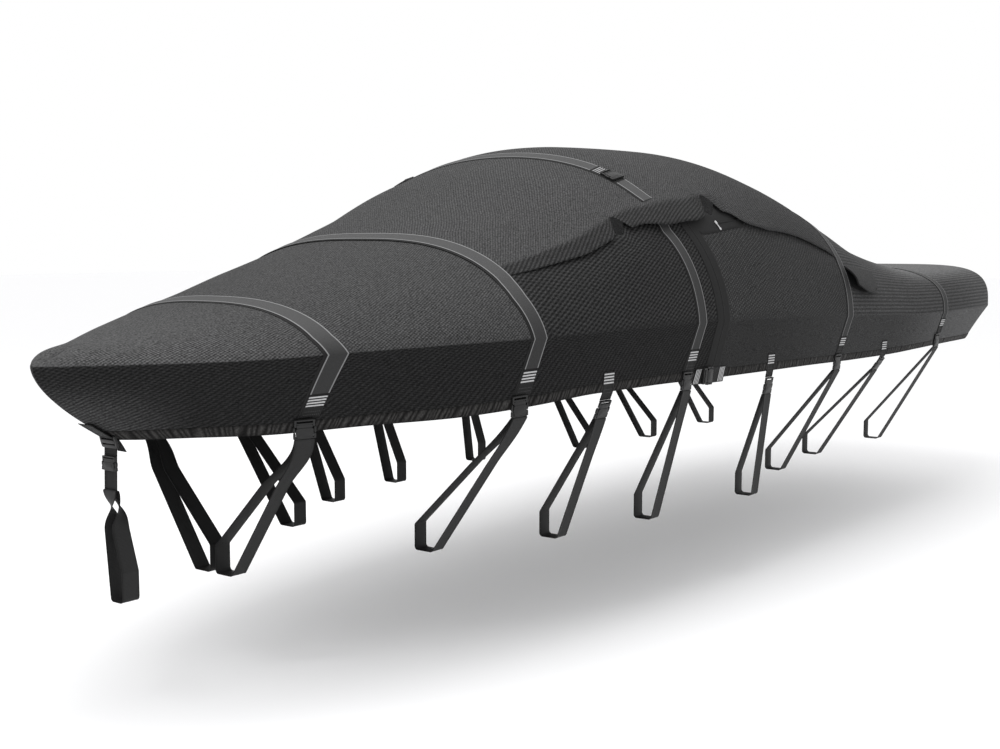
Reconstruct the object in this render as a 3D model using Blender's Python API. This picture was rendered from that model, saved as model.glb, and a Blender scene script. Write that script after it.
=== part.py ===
"""Fitted boat cover, hung in the shape it has over a boat with a wake tower.

Frame: +X towards the stern, +Y to starboard, +Z up, metres.  The origin lies
under the top of the crown, on the centre line, where the cover is held up.
Every cloth piece is a thin sheet on one form.  The form is a row of cross
sections; a place on it has a station (metres along the boat) and a spread
(0 at the centre line, 1 at the gunwale edge, 2 at the hem, negative to port).
"""
import math
from collections import namedtuple

import bmesh
import bpy
import numpy as np

# ---------------------------------------------------------------- cloth
CLOTH = 0.002
FACING_CLOTH = 0.0015
WEBBING = 0.002
WEBBING_WIDTH = 0.076
SEWN_GAP = 0.0005
CROWN_GAP = 0.0008
SEAM_GAP = 0.0006

# ---------------------------------------------------------------- form
SECTION_COLUMNS = ("edge_x", "spine_x", "hem_back", "half_beam", "edge_z", "top_z",
                   "fullness", "roundness", "hem_half", "hem_z", "belly")
SECTIONS = (
    (-3.235, -3.135, 0.315, 0.000, -0.918, -0.905, 3.0, 1.4, 0.000, -1.210, 0.060),
    (-3.175, -3.095, 0.300, 0.104, -0.915, -0.863, 3.0, 1.4, 0.080, -1.208, 0.055),
    (-2.980, -2.930, 0.250, 0.275, -0.913, -0.838, 2.9, 1.4, 0.215, -1.206, 0.035),
    (-2.700, -2.680, 0.160, 0.495, -0.908, -0.778, 2.8, 1.5, 0.390, -1.203, 0.015),
    (-2.280, -2.280, 0.070, 0.727, -0.888, -0.672, 2.5, 1.5, 0.626, -1.182, 0.005),
    (-1.900, -1.900, 0.020, 0.851, -0.880, -0.570, 2.8, 1.7, 0.810, -1.170, 0.000),
    (-1.520, -1.520, 0.000, 0.940, -0.875, -0.452, 2.8, 1.7, 0.915, -1.150, 0.000),
    (-1.150, -1.150, 0.000, 0.995, -0.870, -0.310, 2.3, 2.2, 0.968, -1.130, 0.000),
    (-0.750, -0.750, 0.000, 1.025, -0.866, -0.135, 2.0, 3.0, 0.998, -1.128, 0.000),
    (-0.280, -0.280, 0.000, 1.038, -0.864, -0.009, 2.2, 2.7, 1.012, -1.136, 0.000),
    (0.280, 0.280, 0.000, 1.050, -0.873, 0.002, 2.1, 3.2, 1.024, -1.143, 0.000),
    (0.850, 0.850, 0.000, 1.056, -0.888, -0.068, 2.1, 2.8, 1.030, -1.150, 0.000),
    (1.420, 1.420, 0.000, 1.060, -0.905, -0.262, 2.8, 2.2, 1.034, -1.160, 0.000),
    (1.980, 1.980, 0.000, 1.065, -0.926, -0.460, 3.2, 1.9, 1.038, -1.164, 0.000),
    (2.450, 2.450, 0.000, 1.069, -0.943, -0.586, 4.2, 2.1, 1.040, -1.158, 0.000),
    (2.950, 2.930, -0.050, 1.067, -0.946, -0.650, 5.0, 2.6, 1.038, -1.152, 0.000),
    (3.560, 3.470, -0.245, 1.054, -0.942, -0.650, 6.0, 2.9, 1.032, -1.149, 0.000),
    (3.950, 3.800, -0.490, 0.985, -0.942, -0.650, 7.0, 3.2, 0.968, -1.148, 0.000),
    (4.035, 3.890, -0.550, 0.810, -0.946, -0.652, 7.0, 3.0, 0.790, -1.147, 0.000),
    (4.060, 3.950, -0.570, 0.000, -0.948, -0.655, 7.0, 3.0, 0.000, -1.146, 0.000),
)
TABLE = np.array(SECTIONS)
LAST_ROW = len(SECTIONS) - 1
BELLY_FORWARD = 0.7
BELLY_SIDE = 0.3
BELLY_HIGH = 0.7

# the sheets' samples from the centre line out to the hem
SPREADS = (0.0, 0.12, 0.24, 0.36, 0.48, 0.56, 0.64, 0.72, 0.80, 0.88, 0.95, 1.0, 1.22, 1.5, 2.0)
TUCK_KNOT = 0.56
CLEAR_KNOT = 0.80
CROWN_FIXED = 0.48
CROWN_FULL = 0.77

# ---------------------------------------------------------------- stations
BOW_STRAP = -2.43
FORE_STRAP = -1.56
MID_STRAP = -0.42
AFT_STRAP = 1.28
STERN_STRAP = 2.86
CROWN_STRAP = -0.42
FORE_TAB = -1.03
MID_TAB = 0.37
AFT_TAB = 1.96
SLIT = -0.22
TOWER_LEGS = (-0.755, 0.024)
HALF_WEB = WEBBING_WIDTH / 2
FACING_HALF = 0.060

# how far a station's line strays along the boat: high up, at the gunwale edge and at the hem
HIGH_SPREAD = 0.74
LEAN_COLUMNS = ("station", "high", "edge", "hem")
LEAN = (
    (-3.000, 0.000, 0.000, 0.000),
    (-2.430, 0.000, 0.020, -0.110),
    (-1.560, 0.000, 0.035, -0.060),
    (-1.300, 0.000, 0.030, -0.040),
    (-0.600, -0.130, 0.060, -0.070),
    (0.000, -0.130, 0.060, 0.000),
    (0.600, 0.000, 0.000, 0.000),
    (1.280, -0.020, 0.030, -0.100),
    (2.860, 0.000, -0.020, -0.110),
    (3.300, 0.000, 0.000, 0.000),
)
LEAN_TABLE = np.array(LEAN)

# ---------------------------------------------------------------- crown
# where its side edge lies, where the panels' edge lies under it, and how far it stands off them
LAP_COLUMNS = ("station", "lap", "tuck", "flare")
LAP = (
    (-1.598, 0.620, 0.560, 0.000),
    (-1.522, 0.620, 0.560, 0.000),
    (-1.300, 0.650, 0.590, 0.007),
    (-1.040, 0.680, 0.620, 0.012),
    (-0.820, 0.690, 0.640, 0.010),
    (-0.590, 0.690, 0.640, 0.018),
    (-0.440, 0.730, 0.650, 0.034),
    (-0.160, 0.725, 0.650, 0.030),
    (-0.050, 0.700, 0.650, 0.014),
    (0.130, 0.700, 0.650, 0.012),
    (0.220, 0.765, 0.680, 0.018),
    (0.380, 0.790, 0.700, 0.015),
    (0.740, 0.770, 0.690, 0.012),
    (1.120, 0.770, 0.650, 0.007),
    (1.242, 0.770, 0.560, 0.000),
    (1.318, 0.770, 0.560, 0.000),
)
LAP_TABLE = np.array(LAP)
LEG_HALF = 0.085
LEG_NOTCH = 0.085
LEG_DIP = 0.050
SLACK_STATIONS = (-1.52, -1.30, 1.10, 1.24)
SLACK_HEIGHTS = (0.0, 0.0025, 0.0025, 0.0)
CROWN_SAMPLES = (0.0, 0.12, 0.24, 0.36, 0.48, 0.56, 0.64, 0.72, 0.77)

# ---------------------------------------------------------------- hem hardware
# end_above: how far above the hem the webbing meets its buckle (below it if negative)
# held_out: how far from the centre line the tie-down loop's outer run comes down
Unit = namedtuple("Unit", "name station end_above held_out")
STRAP_UNITS = (
    Unit("bow", BOW_STRAP, 0.068, 0.107),
    Unit("fore", FORE_STRAP, 0.055, 0.460),
    Unit("mid", MID_STRAP, 0.046, 0.850),
    Unit("aft", AFT_STRAP, 0.044, 0.720),
    Unit("stern", STERN_STRAP, 0.076, 0.680),
)
TAB_UNITS = (
    Unit("fore_tab", FORE_TAB, -0.038, 0.730),
    Unit("mid_tab", MID_TAB, -0.034, 0.950),
    Unit("aft_tab", AFT_TAB, -0.014, 0.640),
)
TAB_SEWN = 0.090
# along a strap: no sample nearer than this to its first, to its end, or to the crown's edge
FIRST_CLEAR, END_CLEAR, EDGE_CLEAR = 0.015, 0.020, 0.035
STRAP_END_FROM = 1.5
LOOP_BOTTOM = -1.800
LOOP_SPAN = 0.090
LOOP_RISE = 0.110
LOOP_BEND = 0.014
LOOP_THROAT = 0.013
LOOP_SQUARE = 0.35
THROAT_BEND = 0.004
LONG_RUN = 0.150
TWIST_STEP = 0.260
SLIGHT_TURN = 0.2
BUCKLE_LENGTH = 0.086
BUCKLE_WIDTH = 0.092
BUCKLE_THICK = 0.014
BUCKLE_CLEAR_HALF = 0.055
BUCKLE_CLEAR_ABOVE = 0.080
FIT_GAP = 0.0003
LOOP_GAP = 0.0007
# half of the buckle's outline: shares of its half width and of its half length, plug end first
BUCKLE_OUTLINE = ((0.84, -1.0), (0.92, -0.72), (0.86, -0.1), (0.70, 0.28), (1.0, 0.62), (0.90, 1.0))

# ---------------------------------------------------------------- stem, slit and crown fittings
STEM_SEWN_FROM = 1.72
STEM_PROUD = 0.0006
STEM_END_Z = -1.395
STEM_HANG_X = -2.927
STEM_HELD_OUT = 0.100
STEM_SPAN = 0.065
STEM_CURVE = 0.7
CLOSURE_FROM, CLOSURE_TO = -0.364, -0.106
CLOSURE_SPREADS = (1.80, 1.93, 2.0, 2.08)
CLOSURE_BUCKLE = -0.262
CROWN_BUCKLE_RUN = (0.36, 0.48)
CROWN_BUCKLE_SHARE = 0.58
CROWN_STRAP_END = 0.62
VENT_CORNERS = ((1.32, 0.80), (1.83, 0.72), (1.70, 0.93), (1.30, 0.89))
VENT_RISE = 0.055
VENT_FLARE = 0.8
VENT_SEAT = 0.0008

SIDES = (("port", -1.0), ("starboard", 1.0))


def smooth_rows(values, row):
    """Smooth curve through a table column that never overshoots its values."""
    rise = np.diff(values)
    slope = np.zeros(len(values))
    same = rise[:-1] * rise[1:] > 0
    total = np.where(same, rise[:-1] + rise[1:], 1.0)
    slope[1:-1] = np.where(same, 2 * rise[:-1] * rise[1:] / total, 0.0)
    slope[0], slope[-1] = rise[0], rise[-1]
    low = np.clip(np.floor(row).astype(int), 0, len(values) - 2)
    step = row - low
    rest = 1 - step
    return ((1 + 2 * step) * rest**2 * values[low] + step * rest**2 * slope[low]
            + step**2 * (3 - 2 * step) * values[low + 1] - step**2 * rest * slope[low + 1])


def column(name, row):
    return smooth_rows(TABLE[:, SECTION_COLUMNS.index(name)], row)


FINE_ROWS = np.linspace(0, LAST_ROW, 4001)
FINE_X = column("edge_x", FINE_ROWS)


def form(row, spread):
    """Points of the form: a raised oval arc to the gunwale edge, then the flank."""
    row, spread = np.broadcast_arrays(np.asarray(row, float), np.asarray(spread, float))
    side = np.sign(spread)
    out = np.sin(np.clip(abs(spread), 0, 1) * math.pi / 2)
    down = np.maximum(abs(spread) - 1, 0)
    arc = np.maximum(1 - out ** column("fullness", row), 0) ** (1 / column("roundness", row))
    edge_z, half = column("edge_z", row), column("half_beam", row)
    bulge = column("belly", row) * np.sin(math.pi * down**BELLY_HIGH)
    spine_x = column("spine_x", row)
    x = spine_x + (column("edge_x", row) - spine_x) * out + column("hem_back", row) * down
    y = half * out + (column("hem_half", row) - half) * down
    y = y + bulge * BELLY_SIDE * np.minimum(half / 0.1, 1)
    z = edge_z + (column("top_z", row) - edge_z) * arc + (column("hem_z", row) - edge_z) * down
    return np.stack([x - bulge * BELLY_FORWARD, side * y, z - bulge * BELLY_SIDE], -1)


def table_value(table, columns, name, station):
    """One column of a station table, in straight runs between its rows."""
    return np.interp(station, table[:, 0], table[:, columns.index(name)])


def lap_value(name, station):
    return table_value(LAP_TABLE, LAP_COLUMNS, name, station)


def lean(station, spread):
    """How far a station's line has strayed along the boat at a spread."""
    high, edge, hem = [table_value(LEAN_TABLE, LEAN_COLUMNS, name, station) for name in LEAN_COLUMNS[1:]]
    spread = abs(np.asarray(spread, float))
    to_edge = np.clip((spread - HIGH_SPREAD) / (1 - HIGH_SPREAD), 0, 1)
    to_hem = np.clip(spread - 1, 0, None)
    return high + (edge - high) * to_edge + (hem - edge) * to_hem


def row_at(station, spread):
    return np.interp(station + lean(station, spread), FINE_X, FINE_ROWS)


def row_stations(rows):
    return np.interp(rows, FINE_ROWS, FINE_X)


def web(station):
    """The two edges of a width of webbing along a station."""
    return [station - HALF_WEB, station + HALF_WEB]


def outward(row, spread):
    """Unit normals of the form, from the differences of its points."""
    small = 1e-3
    spread = np.asarray(spread, float)
    inner = np.clip(row, small, LAST_ROW - small)
    across = form(inner, spread + small) - form(inner, spread - small)
    along = form(inner + small, spread) - form(inner - small, spread)
    normal = np.cross(along, across)
    at_end = (np.asarray(row) < small) | (np.asarray(row) > LAST_ROW - small)
    normal[..., 1] = np.where(at_end, 0, normal[..., 1])
    return normal / np.linalg.norm(normal, axis=-1, keepdims=True)


def raised(row, spread, lift):
    """Points of the form moved out along its normals."""
    lift = np.asarray(lift, float)
    return form(row, spread) + outward(row, spread) * lift[..., None]


def leg_bump(station):
    """1 at a tower leg, falling smoothly to 0 at the sides of its opening."""
    station = np.asarray(station, float)
    total = np.zeros_like(station)
    for leg in TOWER_LEGS:
        away = np.clip(abs(station - leg) / LEG_HALF, 0, 1)
        total = total + np.cos(away * math.pi / 2) ** 2
    return total


def crown_edge(station):
    return lap_value("lap", station) - LEG_NOTCH * leg_bump(station)


def tuck_edge(station):
    return lap_value("tuck", station) + LEG_DIP * leg_bump(station)


# ---------------------------------------------------------------- solids
def material(name, colour, roughness):
    made = bpy.data.materials.new(name)
    made.use_nodes = True
    shader = made.node_tree.nodes["Principled BSDF"]
    shader.inputs["Base Color"].default_value = (*colour, 1)
    shader.inputs["Roughness"].default_value = roughness
    shader.inputs["Metallic"].default_value = 0.0
    return made


def finish(name, mesh, made, smooth_angle=30):
    """Close a bmesh into a named object with outward faces."""
    bmesh.ops.remove_doubles(mesh, verts=mesh.verts, dist=1e-6)
    bmesh.ops.recalc_face_normals(mesh, faces=mesh.faces)
    if mesh.calc_volume(signed=True) < 0:
        bmesh.ops.reverse_faces(mesh, faces=mesh.faces)
    data = bpy.data.meshes.new(name)
    mesh.to_mesh(data)
    mesh.free()
    data.shade_smooth()
    data.set_sharp_from_angle(angle=math.radians(smooth_angle))
    data.materials.append(made)
    part = bpy.data.objects.new(name, data)
    bpy.context.scene.collection.objects.link(part)
    return part


def slab(name, top, bottom, made, keep=None, closed_ends=(False, False)):
    """Closed sheet between two grids of points; keep says which cells exist."""
    rows, cols = top.shape[:2]
    if keep is None:
        keep = np.ones((rows - 1, cols - 1), bool)
    mesh = bmesh.new()
    upper = [[mesh.verts.new(p) for p in line] for line in top]
    lower = [[mesh.verts.new(p) for p in line] for line in bottom]

    def wall(a, b):
        (i, j), (k, m) = a, b
        mesh.faces.new((upper[i][j], upper[k][m], lower[k][m]))
        mesh.faces.new((upper[i][j], lower[k][m], lower[i][j]))

    for i, j in np.argwhere(keep):
        for sheet in (upper, lower):
            a, b, c, d = sheet[i][j], sheet[i + 1][j], sheet[i + 1][j + 1], sheet[i][j + 1]
            mesh.faces.new((a, b, c))
            mesh.faces.new((a, c, d))
        if (i == 0 and not closed_ends[0]) or (i > 0 and not keep[i - 1, j]):
            wall((i, j), (i, j + 1))
        if (i == rows - 2 and not closed_ends[1]) or (i < rows - 2 and not keep[i + 1, j]):
            wall((i + 1, j), (i + 1, j + 1))
        if j == 0 or not keep[i, j - 1]:
            wall((i, j), (i + 1, j))
        if j == cols - 2 or not keep[i, j + 1]:
            wall((i, j + 1), (i + 1, j + 1))
    loose = [v for v in mesh.verts if not v.link_faces]
    bmesh.ops.delete(mesh, geom=loose, context="VERTS")
    return finish(name, mesh, made)


def on_form(stations, spreads, lift):
    """Grid over every station and spread, raised by lift (a number or a grid)."""
    station, spread = np.meshgrid(stations, spreads, indexing="ij")
    return raised(row_at(station, spread), spread, np.broadcast_to(lift, station.shape))


def both_ways(values):
    """The spreads from port to starboard through the centre line."""
    return np.array([-v for v in reversed(values)] + list(values[1:]))


def one_way(values, sign):
    """Values of the starboard side, or the port side's in the same running order."""
    values = np.asarray(values)
    if values.dtype == bool:
        return values if sign > 0 else values[..., ::-1]
    return values if sign > 0 else -values[..., ::-1]


def panel_spread(station, sample):
    """A panel's samples near the tuck line follow it from row to row."""
    tuck = tuck_edge(station)
    size = abs(sample)
    inner = size / TUCK_KNOT * tuck
    middle = tuck + (size - TUCK_KNOT) / (CLEAR_KNOT - TUCK_KNOT) * (CLEAR_KNOT - tuck)
    spread = np.where(size <= TUCK_KNOT, inner, np.where(size < CLEAR_KNOT, middle, size))
    return spread * np.sign(sample)


def panel_grid(stations, samples, lift):
    station, sample = np.meshgrid(stations, samples, indexing="ij")
    spread = panel_spread(station, sample)
    return raised(row_at(station, spread), spread, np.full(station.shape, lift))


# ---------------------------------------------------------------- panels
def front_stations():
    nose = list(row_stations(np.array((0, 0.35, 0.7, 1, 1.5, 2, 2.5, 3))))
    deck = web(BOW_STRAP) + [-2.25, -2.05, -1.90, -1.72] + web(FORE_STRAP)
    flank = [-1.40, -1.25] + web(FORE_TAB)
    flank += [-0.94, -0.84, -0.80, TOWER_LEGS[0], -0.71, -0.67, -0.58]
    return nose + deck + flank + web(MID_STRAP) + [SLIT - FACING_HALF, SLIT - SEAM_GAP]


def aft_stations():
    flank = [SLIT + SEAM_GAP, SLIT + FACING_HALF, -0.06, -0.02, TOWER_LEGS[1], 0.07, 0.11, 0.22]
    flank += web(MID_TAB) + [0.55, 0.80, 1.05] + web(AFT_STRAP)
    deck = [1.36, 1.45, 1.54, 1.63, 1.72, 1.80] + web(AFT_TAB) + [2.10, 2.30, 2.50, 2.66]
    deck += web(STERN_STRAP)
    tail = list(row_stations(np.array((15.3, 15.7, 16, 16.4, 16.8, 17.2, 17.6, 18, 18.35, 19))))
    return flank + deck + tail


def panel(name, stations, open_from, open_to, closed_ends, made):
    """A panel with the crown's place left open between two stations."""
    stations = np.array(stations)
    samples = both_ways(SPREADS)
    top, bottom = panel_grid(stations, samples, 0.0), panel_grid(stations, samples, -CLOTH)
    middle = (samples[:-1] + samples[1:]) / 2
    mid_station = (stations[:-1] + stations[1:]) / 2
    under = (mid_station[:, None] > open_from) & (mid_station[:, None] < open_to)
    keep = ~(under & (abs(middle)[None, :] < TUCK_KNOT))
    return slab(name, top, bottom, made, keep, closed_ends)


def crown_samples(station, samples):
    """Samples past the fixed one are drawn in to the crown's own edge."""
    edge = crown_edge(station)
    size = abs(samples)
    pulled = CROWN_FIXED + (size - CROWN_FIXED) / (CROWN_FULL - CROWN_FIXED) * (edge - CROWN_FIXED)
    return np.where(size <= CROWN_FIXED, size, pulled) * np.sign(samples)


def crown_lift(station, spread):
    """Room under the crown: a sewn gap at its ends, a flared lap at its sides."""
    edge = crown_edge(station)
    reach = np.clip((abs(spread) - CROWN_FIXED) / (edge - CROWN_FIXED), 0, 1)
    slack = np.interp(station, SLACK_STATIONS, SLACK_HEIGHTS)
    return CROWN_GAP + slack + lap_value("flare", station) * reach**2


def crown_stations():
    front = [-1.40, -1.25, -1.05, -0.92, -0.84, -0.80, TOWER_LEGS[0], -0.71, -0.67, -0.60, -0.52]
    middle = [-0.28, -0.16, -0.06, -0.02, TOWER_LEGS[1], 0.07, 0.11, 0.17, 0.24]
    aft = [0.38, 0.56, 0.74, 0.92, 1.10]
    return web(FORE_STRAP) + front + web(CROWN_STRAP) + middle + aft + web(AFT_STRAP)


def crown_grid(extra):
    station, sample = np.meshgrid(crown_stations(), both_ways(CROWN_SAMPLES), indexing="ij")
    spread = crown_samples(station, sample)
    return raised(row_at(station, spread), spread, crown_lift(station, spread) + extra)


# ---------------------------------------------------------------- straps
def strap(name, station, spreads, lift, made):
    """A length of webbing along one station; spreads and lifts for each of its edges."""
    edges = np.array(web(station))[:, None]
    rows = row_at(edges, spreads)
    low = raised(rows, spreads, np.broadcast_to(lift, spreads.shape))
    high = raised(rows, spreads, np.broadcast_to(lift, spreads.shape) + WEBBING)
    return slab(name, high, low, made)


def end_spreads(station, end_above):
    """For both edges of the webbing, the spread at which it meets its buckle's end."""
    place = hem_place(station)
    spreads = np.linspace(STRAP_END_FROM, 2.0, 101)
    edges = np.array(web(station))[:, None]
    grid = on_form(edges, spreads, SEWN_GAP + WEBBING / 2)
    reached = (grid - place.point) @ place.along
    return np.array([np.interp(-end_above, line, spreads) for line in reached])


def strap_spreads(first, ends):
    """Spreads of both edges from the first one down to their ends."""
    inner = [s for s in SPREADS if first + FIRST_CLEAR < s < min(ends) - END_CLEAR]
    shared = np.tile([first] + inner, (2, 1))
    return np.concatenate([shared, ends[:, None]], axis=1)


def mirrored(spreads):
    """Spreads of both edges from port to starboard through the centre line."""
    return np.concatenate([-spreads[:, :0:-1], spreads], axis=1)


def deck_strap(name, station, end_above, made):
    """A strap right across the cover, straight on the panels."""
    spreads = mirrored(strap_spreads(0.0, end_spreads(station, end_above)))
    return strap(name, station, spreads, SEWN_GAP, made)


def seam_strap(name, station, end_above, made):
    """A strap that covers the sewn end of the crown and runs on down the flanks."""
    over = crown_samples(station, np.array(CROWN_SAMPLES))
    rest = strap_spreads(over[-1] + EDGE_CLEAR, end_spreads(station, end_above))
    lifts = [CROWN_GAP + CLOTH + SEWN_GAP] * len(over) + [SEWN_GAP] * rest.shape[1]
    spreads = np.concatenate([np.tile(over, (2, 1)), rest], axis=1)
    return strap(name, station, mirrored(spreads), np.array(lifts[:0:-1] + lifts), made)


def flank_strap(name, station, end_above, sign, made):
    """A strap down one flank, from under the crown's lap."""
    edges = np.array(web(station))[:, None]
    ends = end_spreads(station, end_above)[:, None]
    samples = np.array([[s for s in SPREADS if TUCK_KNOT < s < ends.min() - END_CLEAR]])
    spreads = np.concatenate([panel_spread(edges, samples), ends], axis=1)
    return strap(name, station, one_way(spreads, sign), SEWN_GAP, made)


def crown_strap(name, made):
    """The strap over the crown, between its two buckles and on to its ends."""
    edges = np.array(web(CROWN_STRAP))[:, None]
    samples = both_ways([s for s in CROWN_SAMPLES if s < CROWN_STRAP_END] + [CROWN_STRAP_END])[None, :]
    spreads = crown_samples(edges, samples)
    lift = crown_lift(edges, spreads) + CLOTH + SEWN_GAP
    return strap(name, CROWN_STRAP, spreads, lift, made)


# ---------------------------------------------------------------- hem hardware
HemPlace = namedtuple("HemPlace", "point along length wide")


def unit(vector):
    return vector / np.linalg.norm(vector)


def hem_place(station):
    """The starboard hem at a station: its point, the flank's slope and length, the hem's run."""
    edge = form(row_at(station, 1.0), 1.0)
    point = form(row_at(station, 2.0), 2.0)
    before, after = [form(row_at(s, 2.0), 2.0) for s in web(station)]
    wide = unit(after - before)
    slope = point - edge
    along = unit(slope - wide * (slope @ wide))
    return HemPlace((before + after) / 2, along, slope @ along, wide)


def prism(name, outline, place, depth, made):
    """An outline in a plane, extruded through it; place maps (u, v, w) to the frame."""
    mesh = bmesh.new()
    low = [mesh.verts.new(place(u, v, -depth / 2)) for u, v in outline]
    high = [mesh.verts.new(place(u, v, depth / 2)) for u, v in outline]
    mesh.faces.new(low)
    mesh.faces.new(high)
    for k, corner in enumerate(low):
        n = (k + 1) % len(low)
        mesh.faces.new((corner, low[n], high[n], high[k]))
    return finish(name, mesh, made)


def buckle_outline():
    """Side-release buckle seen face on: plug end, waist with its two prongs, socket end."""
    half, wide = BUCKLE_LENGTH / 2, BUCKLE_WIDTH / 2
    right = [(wide * across, half * along) for across, along in BUCKLE_OUTLINE]
    return right + [(-u, v) for u, v in reversed(right)]


def buckle(name, centre, down, face, made):
    """Buckle at a centre, its length along down and its face along face."""
    down = unit(down)
    wide = unit(np.cross(down, face))
    face = np.cross(wide, down)
    return prism(name, buckle_outline(), lambda u, v, w: centre + wide * u + down * v + face * w,
                 BUCKLE_THICK, made)


def taut_path(points):
    """Corners of the taut path round some points, counter-clockwise."""
    points = sorted(points)

    def half_path(source):
        path = []
        for point in source:
            while len(path) > 1 and turn_of(path[-2], path[-1], point) <= 1e-9:
                path.pop()
            path.append(point)
        return path[:-1]

    return half_path(points) + half_path(points[::-1])


def turn_of(a, b, c):
    return (b[0] - a[0]) * (c[1] - a[1]) - (b[1] - a[1]) * (c[0] - a[0])


def bend(before, corner, after, radius, steps=2):
    """The arc that rounds one corner of a path, as a few points; a slight corner stays."""
    corner = np.array(corner)
    arms = [unit(np.array(p) - corner) for p in (before, after)]
    half = math.acos(np.clip(arms[0] @ arms[1], -1, 1)) / 2
    if math.pi - 2 * half < SLIGHT_TURN:
        return [corner]
    centre = corner + unit(arms[0] + arms[1]) * radius / math.sin(half)
    start, stop = [corner + arm * radius / math.tan(half) - centre for arm in arms]
    turn = math.pi - 2 * half
    weights = [(math.sin((1 - w) * turn), math.sin(w * turn)) for w in np.linspace(0, 1, steps + 1)]
    return [centre + (start * a + stop * b) / math.sin(turn) for a, b in weights]


def grown(path, distance):
    """A closed counter-clockwise path moved outwards by a distance."""
    normals = []
    for step in (path - np.roll(path, 1, 0), np.roll(path, -1, 0) - path):
        step = step / np.linalg.norm(step, axis=1, keepdims=True)
        normals.append(np.stack([step[:, 1], -step[:, 0]], 1))
    middle = normals[0] + normals[1]
    return path + middle * 2 * distance / (middle**2).sum(1, keepdims=True)


def loop_path(throat, held_out, span):
    """The inside of a tie-down loop: from its throat down and round what it ties to."""
    low, high = LOOP_BOTTOM, LOOP_BOTTOM + LOOP_RISE
    held = [(u, v) for u in (held_out, held_out - span) for v in (low, high)]
    corners = taut_path(throat + held)
    points = []
    for k, corner in enumerate(corners):
        radius = THROAT_BEND if corner in throat else LOOP_BEND
        points += bend(corners[k - 1], corner, corners[(k + 1) % len(corners)], radius)
    return np.array(points)


def cut_runs(path, parts):
    """A closed path with each of its long runs cut into equal parts."""
    points = []
    for start, stop in zip(path, np.roll(path, -1, 0)):
        cuts = parts if np.linalg.norm(stop - start) > LONG_RUN else 1
        points += [start + (stop - start) * k / cuts for k in range(cuts)]
    return np.array(points)


def tie_loop(name, foot, wide, tilt, held_out, sign, made, span=LOOP_SPAN):
    """Tie-down webbing: hangs square to its buckle and turns square to the boat lower down."""
    x, out, top = foot
    half = LOOP_THROAT / 2
    throat = [(float(out + half * math.cos(tilt)), float(top + half * math.sin(tilt))),
              (float(out - half * math.cos(tilt)), float(top - half * math.sin(tilt)))]
    yaw, climb = math.atan2(wide[1], wide[0]), wide[2] / math.hypot(wide[0], wide[1])
    inside = cut_runs(loop_path(throat, held_out, span), 1 + round(abs(yaw) / TWIST_STEP))
    outside = grown(inside, WEBBING)
    turned_by = LOOP_SQUARE * LOOP_BOTTOM + (1 - LOOP_SQUARE) * top

    def place(u, v, w):
        share = min(max((v - turned_by) / (top - turned_by), 0), 1)
        share = share**2 * (3 - 2 * share)
        angle = yaw * share
        across = u - out
        return (x + w * math.cos(angle) - across * math.sin(angle),
                sign * (out + w * math.sin(angle) + across * math.cos(angle)), v + w * climb * share)

    mesh = bmesh.new()
    edges = ((inside, -HALF_WEB), (outside, -HALF_WEB), (outside, HALF_WEB), (inside, HALF_WEB))
    rings = [[mesh.verts.new(place(u, v, w)) for u, v in ring] for ring, w in edges]
    # both faces of the band are cut along the same diagonals, so that they stay parallel
    for ring, following in zip(rings, rings[1:] + rings[:1]):
        for k, point in enumerate(ring):
            n = (k + 1) % len(ring)
            a, b, c, d = (point, ring[n], following[n], following[k])
            if ring is rings[3]:
                a, b, c, d = b, c, d, a
            mesh.faces.new((a, b, c))
            mesh.faces.new((a, c, d))
    return finish(name, mesh, made)


def cloth_height(station, start, out):
    """How far the cloth behind a buckle stands out past the plane through its start."""
    beside = station + np.linspace(-BUCKLE_CLEAR_HALF, BUCKLE_CLEAR_HALF, 7)
    spreads = np.linspace(2.0 - BUCKLE_CLEAR_ABOVE / hem_place(station).length, 2.0, 7)
    return float(((on_form(beside, spreads, 0.0) - start) @ out).max())


def hang_unit(name, station, start, hang, held_out, webbing_made, buckle_made):
    """Buckle and tie-down loop on both sides, from where the webbing ends."""
    wide = hem_place(station).wide
    out = unit(np.cross(wide, hang))
    rise = max(cloth_height(station, start, out), 0.0) + SEWN_GAP + BUCKLE_THICK / 2
    centre = start + hang * (LOOP_GAP + BUCKLE_LENGTH / 2) + out * rise
    foot = centre + hang * (BUCKLE_LENGTH / 2 + LOOP_GAP + WEBBING)
    tilt = math.atan2(out[2], math.hypot(out[0], out[1]))
    for side, sign in SIDES:
        flip = np.array((1.0, sign, 1.0))
        buckle(f"buckle_{name}_{side}", centre * flip, hang * flip, out * flip, buckle_made)
        tie_loop(f"loop_{name}_{side}", foot, wide, tilt, held_out, sign, webbing_made)


def hem_tab(name, place, hang, drop, sign, made):
    """Webbing sewn above the hem that bends there and comes down to its buckle."""
    flip = np.array((1.0, sign, 1.0))
    face = unit(np.cross(place.wide, place.along))
    out = unit(np.cross(place.wide, hang))
    lines = [place.point - place.along * TAB_SEWN, place.point, place.point + hang * drop]
    mitre = (face + out) / (1 + face @ out)
    low, high = [], []
    for w in (-HALF_WEB, HALF_WEB):
        shift = place.wide * w
        for sheet, lift in ((low, SEWN_GAP), (high, SEWN_GAP + WEBBING)):
            sheet.append([(p + up * lift + shift) * flip for p, up in zip(lines, (face, mitre, out))])
    return slab(name, np.array(high), np.array(low), made)


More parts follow.
